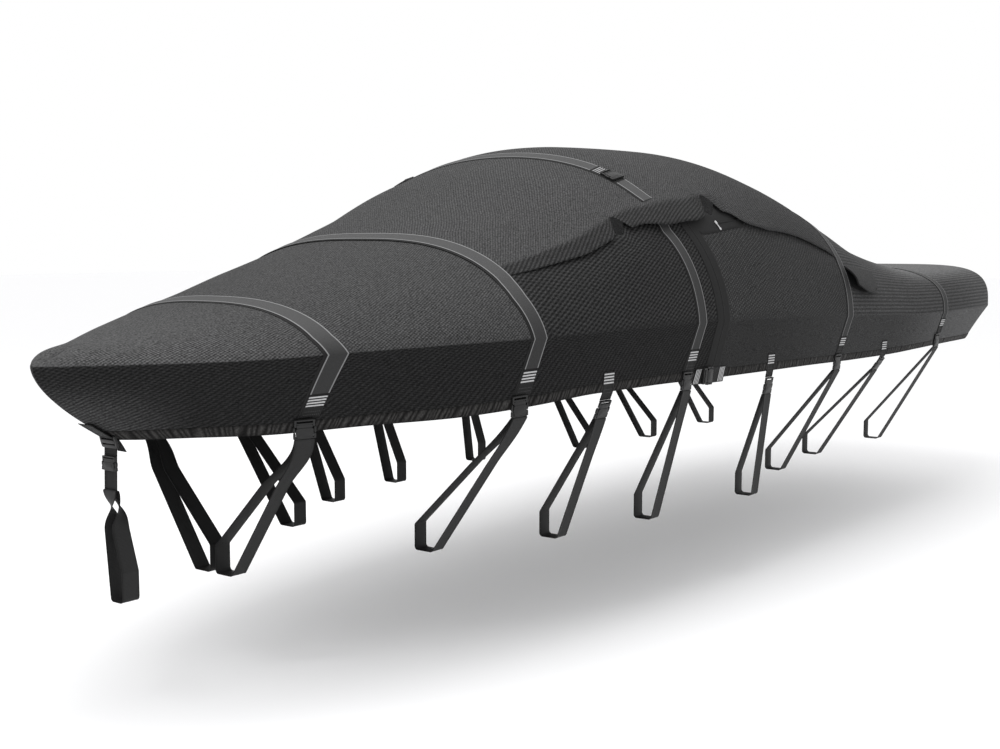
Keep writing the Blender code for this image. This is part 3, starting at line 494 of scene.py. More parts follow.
class Finish:
    """A material in the making: its nodes, its values and its one Principled shader."""

    def __init__(self, name, roughness, specular=0.25):
        self.material = bpy.data.materials.new(name)
        self.material.use_nodes = True
        self.tree = self.material.node_tree
        self.shader = self.tree.nodes["Principled BSDF"]
        self.shader.inputs["Roughness"].default_value = roughness
        self.shader.inputs["Specular IOR Level"].default_value = specular

    def plug(self, socket, value):
        """Links a value or a socket to a socket, or sets the socket to a plain number."""
        if isinstance(value, Value):
            self.tree.links.new(value.socket, socket)
        elif isinstance(value, bpy.types.NodeSocket):
            self.tree.links.new(value, socket)
        else:
            socket.default_value = value

    def node(self, kind, settings=None, sockets=None):
        """A node of a kind, with its settings first and then what goes into its sockets."""
        made = self.tree.nodes.new(kind)
        for name, value in (settings or {}).items():
            setattr(made, name, value)
        for name, value in (sockets or {}).items():
            self.plug(made.inputs[name], value)
        return made

    def math(self, operation, *values):
        made = self.node("ShaderNodeMath", {"operation": operation}, dict(enumerate(values)))
        return Value(self, made.outputs[0])

    def mark(self, name):
        """One of the piece's own marks."""
        node = self.node("ShaderNodeAttribute", {"attribute_name": name})
        return Value(self, node.outputs["Fac"])

    def weave_map(self):
        """The piece's own map, in metres: u along the cloth, v down it."""
        where = self.node("ShaderNodeUVMap", {"uv_map": "weave"})
        split = self.node("ShaderNodeSeparateXYZ", None, {0: where.outputs[0]})
        return Value(self, split.outputs[0]), Value(self, split.outputs[1])

    def noise(self, scale, detail, stretch=(1, 1, 1)):
        """Cloudy noise from 0 to 1 in the frame's own metres."""
        place = self.node("ShaderNodeTexCoord").outputs["Object"]
        scaled = self.node("ShaderNodeMapping", None, {"Vector": place, "Scale": stretch})
        sockets = {"Vector": scaled.outputs[0], "Scale": scale, "Detail": detail}
        return Value(self, self.node("ShaderNodeTexNoise", None, sockets).outputs[0])

    def blend(self, share, first, second):
        """Colour from the first to the second as share goes from 0 to 1."""
        made = self.node("ShaderNodeMix", {"data_type": "RGBA"}, {0: share, 6: first, 7: second})
        return made.outputs[2]

    def shade(self, colour, factor):
        """Colour times a grey factor."""
        even = self.node("ShaderNodeCombineColor", None, {0: factor, 1: factor, 2: factor})
        made = self.node("ShaderNodeMix", {"data_type": "RGBA", "blend_type": "MULTIPLY"},
                         {0: 1.0, 6: colour, 7: even.outputs[0]})
        return made.outputs[2]

    def done(self, colour, bump=None, depth=0.001, strength=1.0, roughness=None):
        """Feeds the shader and gives back the material."""
        self.plug(self.shader.inputs["Base Color"], colour)
        if roughness is not None:
            self.plug(self.shader.inputs["Roughness"], roughness)
        if bump is not None:
            sockets = {"Strength": strength, "Distance": depth, "Height": bump}
            made = self.node("ShaderNodeBump", None, sockets)
            self.plug(self.shader.inputs["Normal"], made.outputs[0])
        return self.material


def grey(level, warm=0.0):
    """A near-neutral colour of a level of light, a little warm or cool."""
    return (level * (1 + warm), level, level * (1 - warm) * 1.01, 1)


TURN = 2 * math.pi


def rib(across, pitch):
    """A sine from 0 to 1 whose waves lie a pitch apart."""
    return (across * (TURN / pitch)).sine() * 0.5 + 0.5


# light given back by the cloth in each place: its dark grey with painted light and shade on it, lighter on
# the decks and round the stern, darker down the flanks and on the crown's skirt, darkest below the side edge
# at the fore part
LIT_TONE = {"crown_fore": 0.0435, "crown_aft": 0.0300, "crown_skirt": 0.0225,
        "bow_deck": 0.0560, "fore_deck": 0.0425, "flank_fore": 0.0190, "flank_aft": 0.0310,
        "quarter": 0.0440, "stern_flank": 0.0630, "stern_deck": 0.1250,
        "under_fore": 0.0120, "stem": 0.0340, "under_mid": 0.0220, "under_aft": 0.0350, "under_stern": 0.0900,
        "hem_fore": 0.0230, "hem_aft": 0.0320, "hem_stern": 0.0600}


def lit_tone(place, warm=0.0):
    """The cloth's grey in one of its places, with the light and shade painted there."""
    return grey(LIT_TONE[place], warm)


def crown_weave(finish, u, v, station, twill):
    """Twill over the top, slanted ribs on the skirt that hangs over the panels."""
    skirt = finish.mark("reach").over(0.52, 0.66) * (1 - station.over(0.02, 0.20))
    ribs = (rib(u * 0.42 + v, 0.0205) - 0.5) * skirt * 0.95 + twill * (1 - skirt) * 0.95
    # painted light and shade: the crown lighter at its fore end, darker aft, and darker still on the skirt
    # that hangs down at its sides
    base = finish.blend(station.over(-0.2, 0.9), lit_tone("crown_fore"), lit_tone("crown_aft"))
    return ribs, finish.blend(skirt, base, lit_tone("crown_skirt"))


def panel_weave(finish, u, v, station, twill, drift):
    """Twill on the fore top, cross hatching on the fore flank, waves aft of the slit, level ribs
    round the stern, and below the edge a fine knit that turns plain towards the stern."""
    spread = finish.mark("spread")
    below = spread.over(0.985, 1.012)
    aft, far_aft = station.over(-0.26, -0.18), station.over(1.20, 1.34)
    fore_deck = 1 - station.over(-1.62, -1.50)
    wavy = rib(u * 0.5 + v + drift * 1.4, 0.0175) * rib(u - v * 0.4, 0.0190) - 0.25
    hatch = rib(u * 0.70 + v + drift * 0.2, 0.0240) * 0.70
    hatch = hatch + rib(v - u * 0.25 + drift * 0.2, 0.0185) * 0.30 - 0.5
    knit = rib(u * 0.50 + v, 0.0140) * 0.6 + rib(v - u * 0.22, 0.0120) * 0.4 - 0.5
    level = rib(v + drift * 0.04, 0.0225) - 0.5
    flank = hatch * (1 - aft) * 1.65 + wavy * aft * (1 - far_aft) * 1.1
    flank = flank + level * far_aft * spread.over(0.50, 0.72) * 0.62
    above = (twill * 1.10 * fore_deck + flank * (1 - fore_deck)) * station.over(-3.225, -3.120)
    under = knit * (1 - aft) * 1.25 + twill * aft * (1 - far_aft) * 0.22

    # painted light and shade: the bow and the decks lighter, the fore flank dark, lighter aft and lightest on
    # the stern deck; below the side edge darkest at the fore part, lighter at the stem and lighter still
    # towards the stern
    deck = station.over(1.9, 2.7) * (1 - spread.over(0.55, 0.80))
    bow = finish.blend(station.over(-3.0, -2.2), lit_tone("bow_deck"), lit_tone("fore_deck"))
    upper = finish.blend(fore_deck, finish.blend(aft, lit_tone("flank_fore"), lit_tone("flank_aft")), bow)
    upper = finish.blend(far_aft, upper, finish.blend(deck, lit_tone("quarter"), lit_tone("stern_deck")))
    stern = finish.blend(deck, lit_tone("stern_flank"), lit_tone("stern_deck"))
    upper = finish.blend(station.over(2.9, 3.7), upper, stern)
    stem = (1 - station.over(-3.225, -2.860)) * spread.over(1.05, 1.60)
    lower = finish.blend(aft, finish.blend(stem, lit_tone("under_fore"), lit_tone("stem")), lit_tone("under_mid"))
    lower = finish.blend(station.over(0.2, 1.6), lower, lit_tone("under_aft"))
    lower = finish.blend(station.over(1.9, 3.4), lower, lit_tone("under_stern"))
    return above * (1 - below) + under * below, finish.blend(below, upper, lower)


def cover_cloth(name, crown=False):
    """Woven polyester: a fine twill everywhere, ribs whose run changes from panel to panel."""
    finish = Finish(name, 0.88, specular=0.10)
    u, v = finish.weave_map()
    station = finish.mark("station")
    drift = (finish.noise(2.3, 4.0) - 0.5) * 0.060
    twill = rib(u * 0.8 + v + drift, 0.0150) * 0.62 + rib(v - u * 0.9, 0.0135) * 0.38 - 0.5
    if crown:
        ribs, base = crown_weave(finish, u, v, station, twill)
        loft = 1 - finish.noise(1.1, 2.0) * 0.22
    else:
        ribs, base = panel_weave(finish, u, v, station, twill, drift)
        loft = 1 - finish.noise(1.4, 3.0) * 0.25
    grain = finish.noise(125.0, 2.0, (1, 1, 1.6)) - 0.5
    shade = (ribs + 1.0) * (grain * 2.7 + 1.0) * (loft * 0.5 + 0.56)
    return finish.done(finish.shade(base, shade), bump=ribs + grain * 0.6, depth=0.0022, strength=0.8)


def gathered_hem():
    """Elastic hem: cloth drawn into short upright puckers, with a granular weave."""
    finish = Finish("cover_hem", 0.9, specular=0.08)
    station = finish.mark("station")
    grain = finish.noise(150.0, 3.0, (1, 1, 0.5)) - 0.5
    # painted light and shade along the hem: darkest at the fore part, lighter aft, lightest round the stern
    base = finish.blend(station.over(-0.3, 1.2), lit_tone("hem_fore", 0.03), lit_tone("hem_aft", 0.02))
    base = finish.blend(station.over(1.9, 3.4), base, lit_tone("hem_stern", 0.02))
    # painted shade between the gathers and painted light on their crests, from the pucker mark
    shade = (finish.mark("pucker") * 1.45 + 0.25) * (grain * 2.2 + 1.0)
    return finish.done(finish.shade(base, shade), bump=grain, depth=0.0020, strength=0.8)


def binding_cloth():
    """Plain close weave of the slit's binding."""
    finish = Finish("binding_cloth", 0.85, specular=0.10)
    u, v = finish.weave_map()
    cross = rib(u, 0.006) * rib(v, 0.006)
    shade = (finish.noise(240.0, 2.0) * 0.4 + 0.8) * (cross * 0.2 + 0.9)
    return finish.done(finish.shade(grey(0.0190), shade), bump=cross, depth=0.0006, strength=0.5)


def strap_webbing():
    """Over-strap: grey webbing, light piping near both edges; towards its end a dark folded
    edge, four reflective bars and dark webbing with two lines of stitches, and past a buckle
    that lies on it the grey webbing again."""
    finish = Finish("strap_webbing", 0.7, specular=0.18)
    u, v = finish.weave_map()
    past, spread = finish.mark("past_bars"), finish.mark("spread")
    cross = u.size()
    threads = rib(v, 0.0042) * 0.5 + rib(u, 0.0036) * 0.5
    # painted light and shade: the webbing and its piping lighter where they lie on top, darker down the
    # flanks
    body = finish.blend(spread.over(0.55, 1.0), grey(0.0520), grey(0.0270))
    piping = finish.blend(spread.over(0.60, 1.02), grey(0.200), grey(0.185))
    body = finish.blend(cross.band(0.0305, 0.0350, 0.0008), body, piping)
    body = finish.blend(cross.over(0.0355, 0.0370), body, grey(0.008))
    bars = ((past - 0.008) / 0.0130).fraction().band(0.05, 0.55, 0.05) * past.band(0.007, 0.060, 0.0008)
    bars = bars * (1 - cross.over(0.033, 0.035))
    stitches = past.band(0.0775, 0.0800, 0.0006) + past.band(0.0925, 0.0950, 0.0006)
    stitches = stitches * rib(u, 0.007).over(0.3, 0.5) * (1 - cross.over(0.030, 0.032))
    dark_end = past.over(0.000, 0.003) * (1 - past.over(0.160, 0.163))
    body = finish.blend(dark_end, body, grey(0.0105))
    body = finish.blend(past.band(-0.004, 0.006, 0.0012), body, grey(0.004))
    # painted light on the reflective bars: lighter down the flanks than on top
    body = finish.blend(bars, body, finish.blend(spread.over(0.5, 0.9), grey(0.24), grey(0.42)))
    body = finish.blend(stitches.clipped(), body, grey(0.050))
    shade = (threads * 0.22 + 0.88) * (finish.noise(160.0, 2.0) * 0.35 + 0.82)
    return finish.done(finish.shade(body, shade), bump=threads, depth=0.0008, strength=0.6,
                       roughness=0.72 - bars * 0.30)


def tie_webbing():
    """Tie-down webbing: near black, ribbed across, its edges darker still."""
    finish = Finish("tie_down_webbing", 0.62, specular=0.22)
    u, v = finish.weave_map()
    cross = u.size()
    threads = rib(v, 0.0050) * 0.6 + rib(u, 0.0045) * 0.4
    body = finish.blend(cross.over(0.0325, 0.0345), grey(0.0150), grey(0.0050))
    body = finish.blend(cross.band(0.0285, 0.0300, 0.0005), body, grey(0.007))
    shade = (threads * 0.30 + 0.85) * (finish.noise(120.0, 2.0) * 0.4 + 0.8)
    return finish.done(finish.shade(body, shade), bump=threads, depth=0.0008, strength=0.7)


def moulded(name, level, roughness):
    """Moulded or cast stuff, with a fine grain and a little uneven wear."""
    finish = Finish(name, roughness, specular=0.30)
    grain, wear = finish.noise(420.0, 2.0), finish.noise(60.0, 3.0)
    return finish.done(finish.shade(grey(level), wear * 0.5 + 0.75), bump=grain, depth=0.0003, strength=0.4,
                       roughness=wear * 0.2 + (roughness - 0.1))


def plain_thread(name, level):
    """Dark tape, mesh and teeth, and the dark strip of painted shadow by each strap's fore edge; a little
    uneven.
    """
    finish = Finish(name, 0.75, specular=0.25)
    return finish.done(finish.shade(grey(level), finish.noise(300.0, 2.0) * 0.5 + 0.75))


PANEL_CLOTH = cover_cloth("cover_cloth_side")
CROWN_CLOTH = cover_cloth("cover_cloth_top", crown=True)
HEM_FINISH = gathered_hem()
BINDING = binding_cloth()
STRAP = strap_webbing()
TIE = tie_webbing()
PLASTIC = moulded("buckle_plastic", 0.009, 0.40)
DARK_TAPE_AND_SHADOW = plain_thread("dark_tape_and_shadow_strip", 0.005)
PULL_METAL = moulded("pull_metal", 0.40, 0.35)

# ---------------------------------------------------------------- panels
TUCK_KNOT, CLEAR_KNOT = 0.56, 0.80
CROWN_FULL = 0.77
PANEL_WIDE, CROWN_WIDE = 3.0, 2.2
PANEL_PITCH, HEM_PITCH = 0.0135, 0.0055
HEM_FROM, HEM_DEEP, HEM_CLOTH, HEM_WIDE = 1.845, 0.158, 0.0012, 0.048
HEM_PROUD, HEM_LOFT = 0.0004, 0.0026
SLIT_HALF_GAP, HEM_SHORT = 0.0006, 0.001
NOSE, STERN_END = FINE_X[0], FINE_X[-1]


def even_stations(first, last, pitch, spread):
    """Stations that lie a pitch apart along the form at one spread."""
    fine = np.linspace(first, last, 20001)
    run = run_of(form(row_at(fine, spread), spread))
    return np.interp(np.linspace(0, run[-1], 2 + int(run[-1] / pitch)), run, fine)


def nearest(values, wanted):
    """The number of the value nearest to the wanted one."""
    return int(np.argmin(abs(values - wanted)))


def with_knots(values, knots):
    """The values, with the nearest one moved on to each knot."""
    values = values.copy()
    for knot in knots:
        values[nearest(values, knot)] = knot
    return values


def panel_spread(station, sample):
    """Samples inside a knot are stretched so that the knot follows the tuck line."""
    tuck = tuck_edge(station)
    size = abs(sample)
    middle = tuck + (size - TUCK_KNOT) / (CLEAR_KNOT - TUCK_KNOT) * (CLEAR_KNOT - tuck)
    spread = np.where(size <= TUCK_KNOT, size / TUCK_KNOT * tuck, np.where(size < CLEAR_KNOT, middle, size))
    return spread * np.sign(sample)


HALF_SAMPLES = np.concatenate([np.linspace(0, 0.9, 34), np.linspace(0.92, 1.08, 9),
                               np.linspace(1.12, 2.0, 18)])
PANEL_SAMPLES = both_ways(with_knots(HALF_SAMPLES, (TUCK_KNOT, CLEAR_KNOT)))
EDGE_SAMPLE = nearest(PANEL_SAMPLES, 1.0)


def measured(points):
    """Running lengths of a grid of points: along its rows, and across from its middle column."""
    along, across = girth(points.swapaxes(0, 1)).T, girth(points)
    return along, abs(across - across[:, points.shape[1] // 2][:, None])


def declare(piece):
    """Gives the piece back as it is."""
    return piece


def weld(piece):
    """Joins the two halves where they meet on the centre line."""
    mesh = bmesh.new()
    mesh.from_mesh(piece.data)
    bmesh.ops.remove_doubles(mesh, verts=mesh.verts, dist=1e-5)
    mesh.to_mesh(piece.data)
    mesh.free()


def panel(name, stations, open_from, open_to):
    """A panel over every station and sample, left open where the crown goes."""
    station, sample = np.meshgrid(stations, PANEL_SAMPLES, indexing="ij")
    spread = panel_spread(station, sample)
    points = raised(station, spread, 0.0)
    middle = (PANEL_SAMPLES[:-1] + PANEL_SAMPLES[1:]) / 2
    halfway = (stations[:-1] + stations[1:]) / 2
    under = ((halfway > open_from) & (halfway < open_to))[:, None] & (abs(middle) < TUCK_KNOT)[None, :]
    along, across = measured(points)
    across = across - across[:, EDGE_SAMPLE:EDGE_SAMPLE + 1] + PANEL_WIDE
    shape = Shape()
    shape.sheet(points, keep=~under, u=along, v=across, station=station, spread=abs(spread))
    piece = shape.build(name, [PANEL_CLOTH], CLOTH)
    weld(piece)
    return declare(fit(piece, "cover_cloth_side", name.replace("_cloth", "_panel")))


def pucker_at(run, level):
    """Uneven gathers: a sine of the run along the hem whose pace wanders with two slow sines."""
    pace = run / 0.0215 + 0.42 * np.sin(run * 31.0) + 0.30 * np.sin(run * 83.0 + 1.3)
    return 0.5 + 0.5 * np.sin(TURN * pace + 1.6 * level + 0.8 * np.sin(run * 47.0))


def hem(name, first, last):
    """The elastic hem: a band over the foot of the cloth that swells by the root of a sine,
    more where its gathers stand up."""
    stations = even_stations(first, last, HEM_PITCH, 2.0)
    station, share = np.meshgrid(stations, np.linspace(0, 1, 9), indexing="ij")
    spread = HEM_FROM + HEM_DEEP * share
    along, _ = measured(raised(station, spread, 0.0))
    pucker = pucker_at(along[:, -1:], share)
    swell = np.sin(np.clip(share * 1.05, 0, 1) * math.pi) ** 0.5
    lift = HEM_PROUD + HEM_LOFT * swell * (0.35 + 0.65 * pucker)
    shape = Shape()
    # the pucker mark sets the hem's painted shade between the gathers and painted light on their crests
    for _, sign in SIDES:
        shape.sheet(raised(station, spread * sign, lift), side=sign, u=along, v=share * HEM_WIDE,
                    station=station, pucker=pucker * (0.3 + 0.7 * swell))
    piece = shape.build(name, [HEM_FINISH], HEM_CLOTH)
    weld(piece)
    return declare(fit(piece, "cover_cloth_side"))


def drawn_in(station, size):
    """A sample past the fixed one, drawn in so that the full one lies at the crown's edge."""
    share = (size - CROWN_FIXED) / (CROWN_FULL - CROWN_FIXED)
    return CROWN_FIXED + share * (crown_edge(station) - CROWN_FIXED)


def crown_spread(station, sample):
    """Samples past the fixed one are drawn in to the crown's own edge."""
    size = abs(sample)
    pulled = drawn_in(station, size)
    return np.where(size <= CROWN_FIXED, size, pulled) * np.sign(sample)


CROWN_FROM, CROWN_TO = FORE_STRAP - HALF_WEB, AFT_STRAP + HALF_WEB


def crown():
    """The crown: one sheet whose sides flare out from the panels towards their edges."""
    stations = np.linspace(CROWN_FROM, CROWN_TO, 210)
    samples = both_ways(with_knots(np.linspace(0, CROWN_FULL, 46), (CROWN_FIXED,)))
    station, sample = np.meshgrid(stations, samples, indexing="ij")
    spread = crown_spread(station, sample)
    points = raised(station, spread, crown_lift(station, spread) + CLOTH)
    along, across = measured(points)
    shape = Shape()
    shape.sheet(points, u=along, v=across, station=station, spread=abs(spread),
                reach=crown_reach(station, spread))
    piece = shape.build("crown_cloth", [CROWN_CLOTH], CLOTH)
    return declare(fit(piece, "cover_cloth_top", "crown_panel"))


# ---------------------------------------------------------------- webbing
# across the webbing: place, height of its face (the piping stands up near both edges)
FACE_COLUMNS = ("across", "height")
STRAP_FACE = np.array(((-0.0380, -0.0008), (-0.0372, 0.0000), (-0.0358, 0.0003), (-0.0345, 0.0012),
                       (-0.0325, 0.0014), (-0.0308, 0.0010), (-0.0295, 0.0002), (-0.0150, 0.0004),
                       (0.0, 0.0005), (0.0150, 0.0004), (0.0295, 0.0002), (0.0308, 0.0010),
                       (0.0325, 0.0014), (0.0345, 0.0012), (0.0358, 0.0003), (0.0372, 0.0000),
                       (0.0380, -0.0008)))
BARS_FROM_END = 0.107
STRAP_END_FROM = 1.5
UNDER_CROWN, STEP_DOWN = 0.655, 0.035
ROUND_EDGE = np.linspace(0.965, 1.035, 9)
# near-black strip just fore of each strap, a painted shadow of the webbing on the cloth: where it lies
# across, and how far it stands off the cloth
SHADOW_STRIP_BAND = np.linspace(-0.0480, -0.0360, 4)
SHADOW_STRIP_PROUD = 0.0011


def web(station):
    """Stations of the webbing's two edges."""
    return [station - HALF_WEB, station + HALF_WEB]


def hem_place(station):
    """The starboard hem at a station: its point, the flank's slope and length, the hem's run."""
    edge, point = form(row_at(station, 1.0), 1.0), form(row_at(station, 2.0), 2.0)
    before, after = [form(row_at(s, 2.0), 2.0) for s in web(station)]
    wide = unit(after - before)
    slope = point - edge
    along = unit(slope - wide * (slope @ wide))
    return (before + after) / 2, along, slope @ along, wide


def end_spread(station, end_above):
    """The spread at which the webbing meets its buckle's end."""
    point, along, length, wide = hem_place(station)
    spreads = np.linspace(STRAP_END_FROM, 2.0, 101)
    line = raised(station, spreads, SEWN_GAP + WEBBING / 2)
    return float(np.interp(-end_above, (line - point) @ along, spreads))


def strap_surface(shape, station, spreads, lift, past):
    """Webbing along a station: its face profile carried over the spreads, and by its fore edge a
    near-black strip, a painted shadow of the webbing on the cloth.  lift is a function of station
    and spread; past says how far a place is past the top of its bars."""
    across, sample = np.meshgrid(STRAP_FACE[:, 0], spreads, indexing="ij")
    bend = np.broadcast_to(STRAP_FACE[:, 1:], across.shape)
    at = station + across
    points = raised(at, sample, lift(at, sample) + WEBBING + bend)
    down = girth(points)
    down = down[len(down) // 2][None, :] * np.ones_like(down)
    shape.sheet(points, u=across, v=down, past_bars=past(down, sample), spread=abs(sample))
    # the dark strip of painted shadow by the webbing's fore edge
    across, sample = np.meshgrid(SHADOW_STRIP_BAND, spreads, indexing="ij")
    at = station + across
    shape.sheet(raised(at, sample, lift(at, sample) + SHADOW_STRIP_PROUD), slot=1, u=across, v=down[:len(SHADOW_STRIP_BAND)])


def from_far_end(down, sample):
    """How far past the bars' top, where they are near the last spread."""
    return BARS_FROM_END - (down[0, -1] - down)


def from_near_end(down, sample):
    """The same where they are near the first spread."""
    return BARS_FROM_END - down


def from_both_ends(down, sample):
    """The same from whichever end is nearer."""
    return BARS_FROM_END - np.minimum(down, down[0, -1] - down)


def finish_strap(shape, name, node):
    """A strap as a piece that stands for its node."""
    piece = shape.build(name, [STRAP, DARK_TAPE_AND_SHADOW], WEBBING)
    return declare(fit(piece, "strap_webbing", node))


def on_panel(station, spread):
    """Sewn down on the panel."""
    return SEWN_GAP


def over_crown_end(station, spread):
    """On the crown's sewn end, and down on to the panel past its edge."""
    edge = crown_edge(station)
    return SEWN_GAP + (CROWN_GAP + CLOTH) * (1 - smooth(abs(spread), edge, edge + STEP_DOWN))


def deck_strap(name, station, end_above, lift):
    """A strap right across the cover, from hem to hem."""
    last = end_spread(station, end_above)
    spreads = both_ways(np.concatenate([np.linspace(0, 0.95, 70), ROUND_EDGE, np.linspace(1.06, last, 44)]))
    shape = Shape()
    strap_surface(shape, station, spreads, lift, from_both_ends)
    return finish_strap(shape, f"webbing_{name}", f"strap_{name}")


def flank_strap(side, sign, end_above):
    """The strap down one flank, from under the crown's lap."""
    last = end_spread(MID_STRAP, end_above)
    spreads = np.concatenate([np.linspace(UNDER_CROWN, 0.95, 30), ROUND_EDGE, np.linspace(1.06, last, 44)])
    shape = Shape()
    if sign > 0:
        strap_surface(shape, MID_STRAP, spreads, on_panel, from_far_end)
    else:
        strap_surface(shape, MID_STRAP, -spreads[::-1], on_panel, from_near_end)
    return finish_strap(shape, f"webbing_mid_{side}", f"strap_mid_{side}")


def on_crown(station, spread):
    """Sewn down on the crown's own cloth."""
    return crown_lift(station, spread) + CLOTH + SEWN_GAP


CROWN_STRAP_END = 0.62
CROWN_BUCKLE_AT = 0.4296
BARS_BEFORE_BUCKLE = 0.062
SEAT_SPREADS, BUCKLE_SHARE = (0.36, 0.48), 0.58


def crown_strap():
    """The strap over the crown; its bars lie just inboard of its two buckles."""
    station = CROWN_STRAP
    inner = np.linspace(0, CROWN_FIXED, 60)
    outer = np.linspace(CROWN_FIXED, CROWN_STRAP_END, 22)[1:]
    spreads = both_ways(np.concatenate([inner, drawn_in(station, outer)]))
    at_buckle = np.interp(CROWN_BUCKLE_AT, spreads[len(spreads) // 2:], np.arange(len(spreads) // 2 + 1))

    def past(down, sample):
        """How far past the bars' top, measured outwards from the crown's middle."""
        middle = down[0, len(spreads) // 2]
        buckle = np.interp(at_buckle + len(spreads) // 2, np.arange(len(spreads)), down[0])
        return abs(down - middle) - (buckle - middle) + BUCKLE_LENGTH / 2 + BARS_BEFORE_BUCKLE

    shape = Shape()
    strap_surface(shape, station, spreads, on_crown, past)
    return finish_strap(shape, "webbing_crown", "strap_crown")


# ---------------------------------------------------------------- buckles
# side-release buckle, face on: plug end at negative along; squareness shapes each outline
PLATE_COLUMNS = ("across", "along", "half_across", "half_along", "low", "high", "squareness")
BUCKLE_PLATES = (
    (0.0, -0.0395, 0.0385, 0.0034, -0.0060, 0.0062, 4.0),
    (-0.0345, -0.0260, 0.0040, 0.0150, -0.0045, 0.0050, 4.0),
    (0.0345, -0.0260, 0.0040, 0.0150, -0.0045, 0.0050, 4.0),
    (0.0, -0.0250, 0.0350, 0.0030, -0.0060, 0.0058, 4.0),
    (0.0, -0.0125, 0.0300, 0.0095, -0.0050, 0.0046, 5.0),
    (0.0, 0.0155, 0.0330, 0.0215, -0.0070, 0.0066, 6.0),
    (0.0, 0.0150, 0.0220, 0.0130, 0.0050, 0.0076, 3.5),
    (-0.0395, 0.0040, 0.0042, 0.0135, -0.0050, 0.0048, 2.6),
    (0.0395, 0.0040, 0.0042, 0.0135, -0.0050, 0.0048, 2.6),
    (0.0, 0.0392, 0.0430, 0.0036, -0.0060, 0.0060, 4.0),
    (-0.0385, 0.0300, 0.0045, 0.0110, -0.0048, 0.0052, 4.0),
    (0.0385, 0.0300, 0.0045, 0.0110, -0.0048, 0.0052, 4.0),
)
PLATE_SIDES = 28
SOFT_EDGE = 0.0010


def plate(across, along, half_across, half_along, low, high, squareness):
    """A flat plate: its outline is the curve |u/a|^n + |v/b|^n = 1, drawn in at both faces."""
    turn = np.linspace(0, TURN, PLATE_SIDES, endpoint=False)
    power = 2 / squareness
    u = np.sign(np.cos(turn)) * abs(np.cos(turn)) ** power
    v = np.sign(np.sin(turn)) * abs(np.sin(turn)) ** power
    edge = min(SOFT_EDGE, half_across / 3, half_along / 3)
    rings = []
    for inset, level in ((edge * 2.2, low), (edge * 0.6, low + edge * 0.4), (0, low + edge), (0, high - edge),
                         (edge * 0.6, high - edge * 0.4), (edge * 2.2, high)):
        rings.append(np.stack([across + u * (half_across - inset), along + v * (half_along - inset),
                               np.full(PLATE_SIDES, level)], -1))
    return np.array(rings)


def plate_faces():
    """Quads round the plate's six rings and a fan on each end, about its middle point."""
    walls = grid_quads(6, PLATE_SIDES, closed_cols=True)[..., ::-1]
    side = np.arange(PLATE_SIDES)
    following = (side + 1) % PLATE_SIDES
    last = 5 * PLATE_SIDES
    foot = np.stack([following, side, np.full(PLATE_SIDES, last + PLATE_SIDES)], -1)
    cap = np.stack([last + side, last + following, np.full(PLATE_SIDES, last + PLATE_SIDES + 1)], -1)
    return [walls, foot, cap]


def add_plates(shape, plates, place):
    """Adds plates given as rows of the plate table, set in place by a function of their points."""
    faces = plate_faces()
    for row in plates:
        middle = [[row[0], row[1], row[4]], [row[0], row[1], row[5]]]
        shape.add(place(np.concatenate([plate(*row).reshape(-1, 3), middle])), *faces)


def set_at(centre, wide, down, face):
    """Maps local points (across, along, up) to the frame."""
    axes = np.array([wide, down, face])
    return lambda points: centre + points @ axes


def buckle(name, centre, down, face, *nodes, plates=BUCKLE_PLATES, made=PLASTIC):
    """A fitting of plates, its length along down and its face outwards."""
    down = unit(down)
    wide = unit(np.cross(down, face))
    shape = Shape()
    add_plates(shape, plates, set_at(centre, wide, down, np.cross(wide, down)))
    piece = shape.build(name, [made], smooth_angle=35)
    return fit(piece, "buckle_plastic", *nodes)


# ---------------------------------------------------------------- tie-down webbing
LOOP_BOTTOM, LOOP_SPAN, LOOP_RISE, LOOP_BEND = -1.800, 0.090, 0.110, 0.014
LOOP_THROAT, THROAT_BEND, LOOP_SQUARE, LOOP_GAP = 0.013, 0.004, 0.35, 0.0007
SLIGHT_TURN, LOOP_PITCH, TAB_PITCH = 0.2, 0.012, 0.006
BUCKLE_CLEAR_HALF, BUCKLE_CLEAR_ABOVE = 0.055, 0.080
# section of the band: place across, height over its inner face
BAND_COLUMNS = ("across", "height")
BAND = np.array(((-0.0380, 0.0004), (-0.0378, 0.0018), (-0.0365, 0.0024), (-0.0335, 0.0024),
                 (-0.0320, 0.0019), (-0.0160, 0.0020), (0.0, 0.0021), (0.0160, 0.0020), (0.0320, 0.0019),
                 (0.0335, 0.0024), (0.0365, 0.0024), (0.0378, 0.0018), (0.0380, 0.0004), (0.0370, 0.0),
                 (0.0, 0.0), (-0.0370, 0.0)))


def turn_of(a, b, c):
    """Above 0 where the way from a over b to c turns left."""
    return (b[0] - a[0]) * (c[1] - a[1]) - (b[1] - a[1]) * (c[0] - a[0])


def taut_path(points):
    """Corners of the taut path round some points, counter-clockwise."""
    points = sorted(points)

    def half_path(source):
        """One side of the path, with the points it passes by left out."""
        path = []
        for point in source:
            while len(path) > 1 and turn_of(path[-2], path[-1], point) <= 1e-9:
                path.pop()
            path.append(point)
        return path[:-1]

    return half_path(points) + half_path(points[::-1])


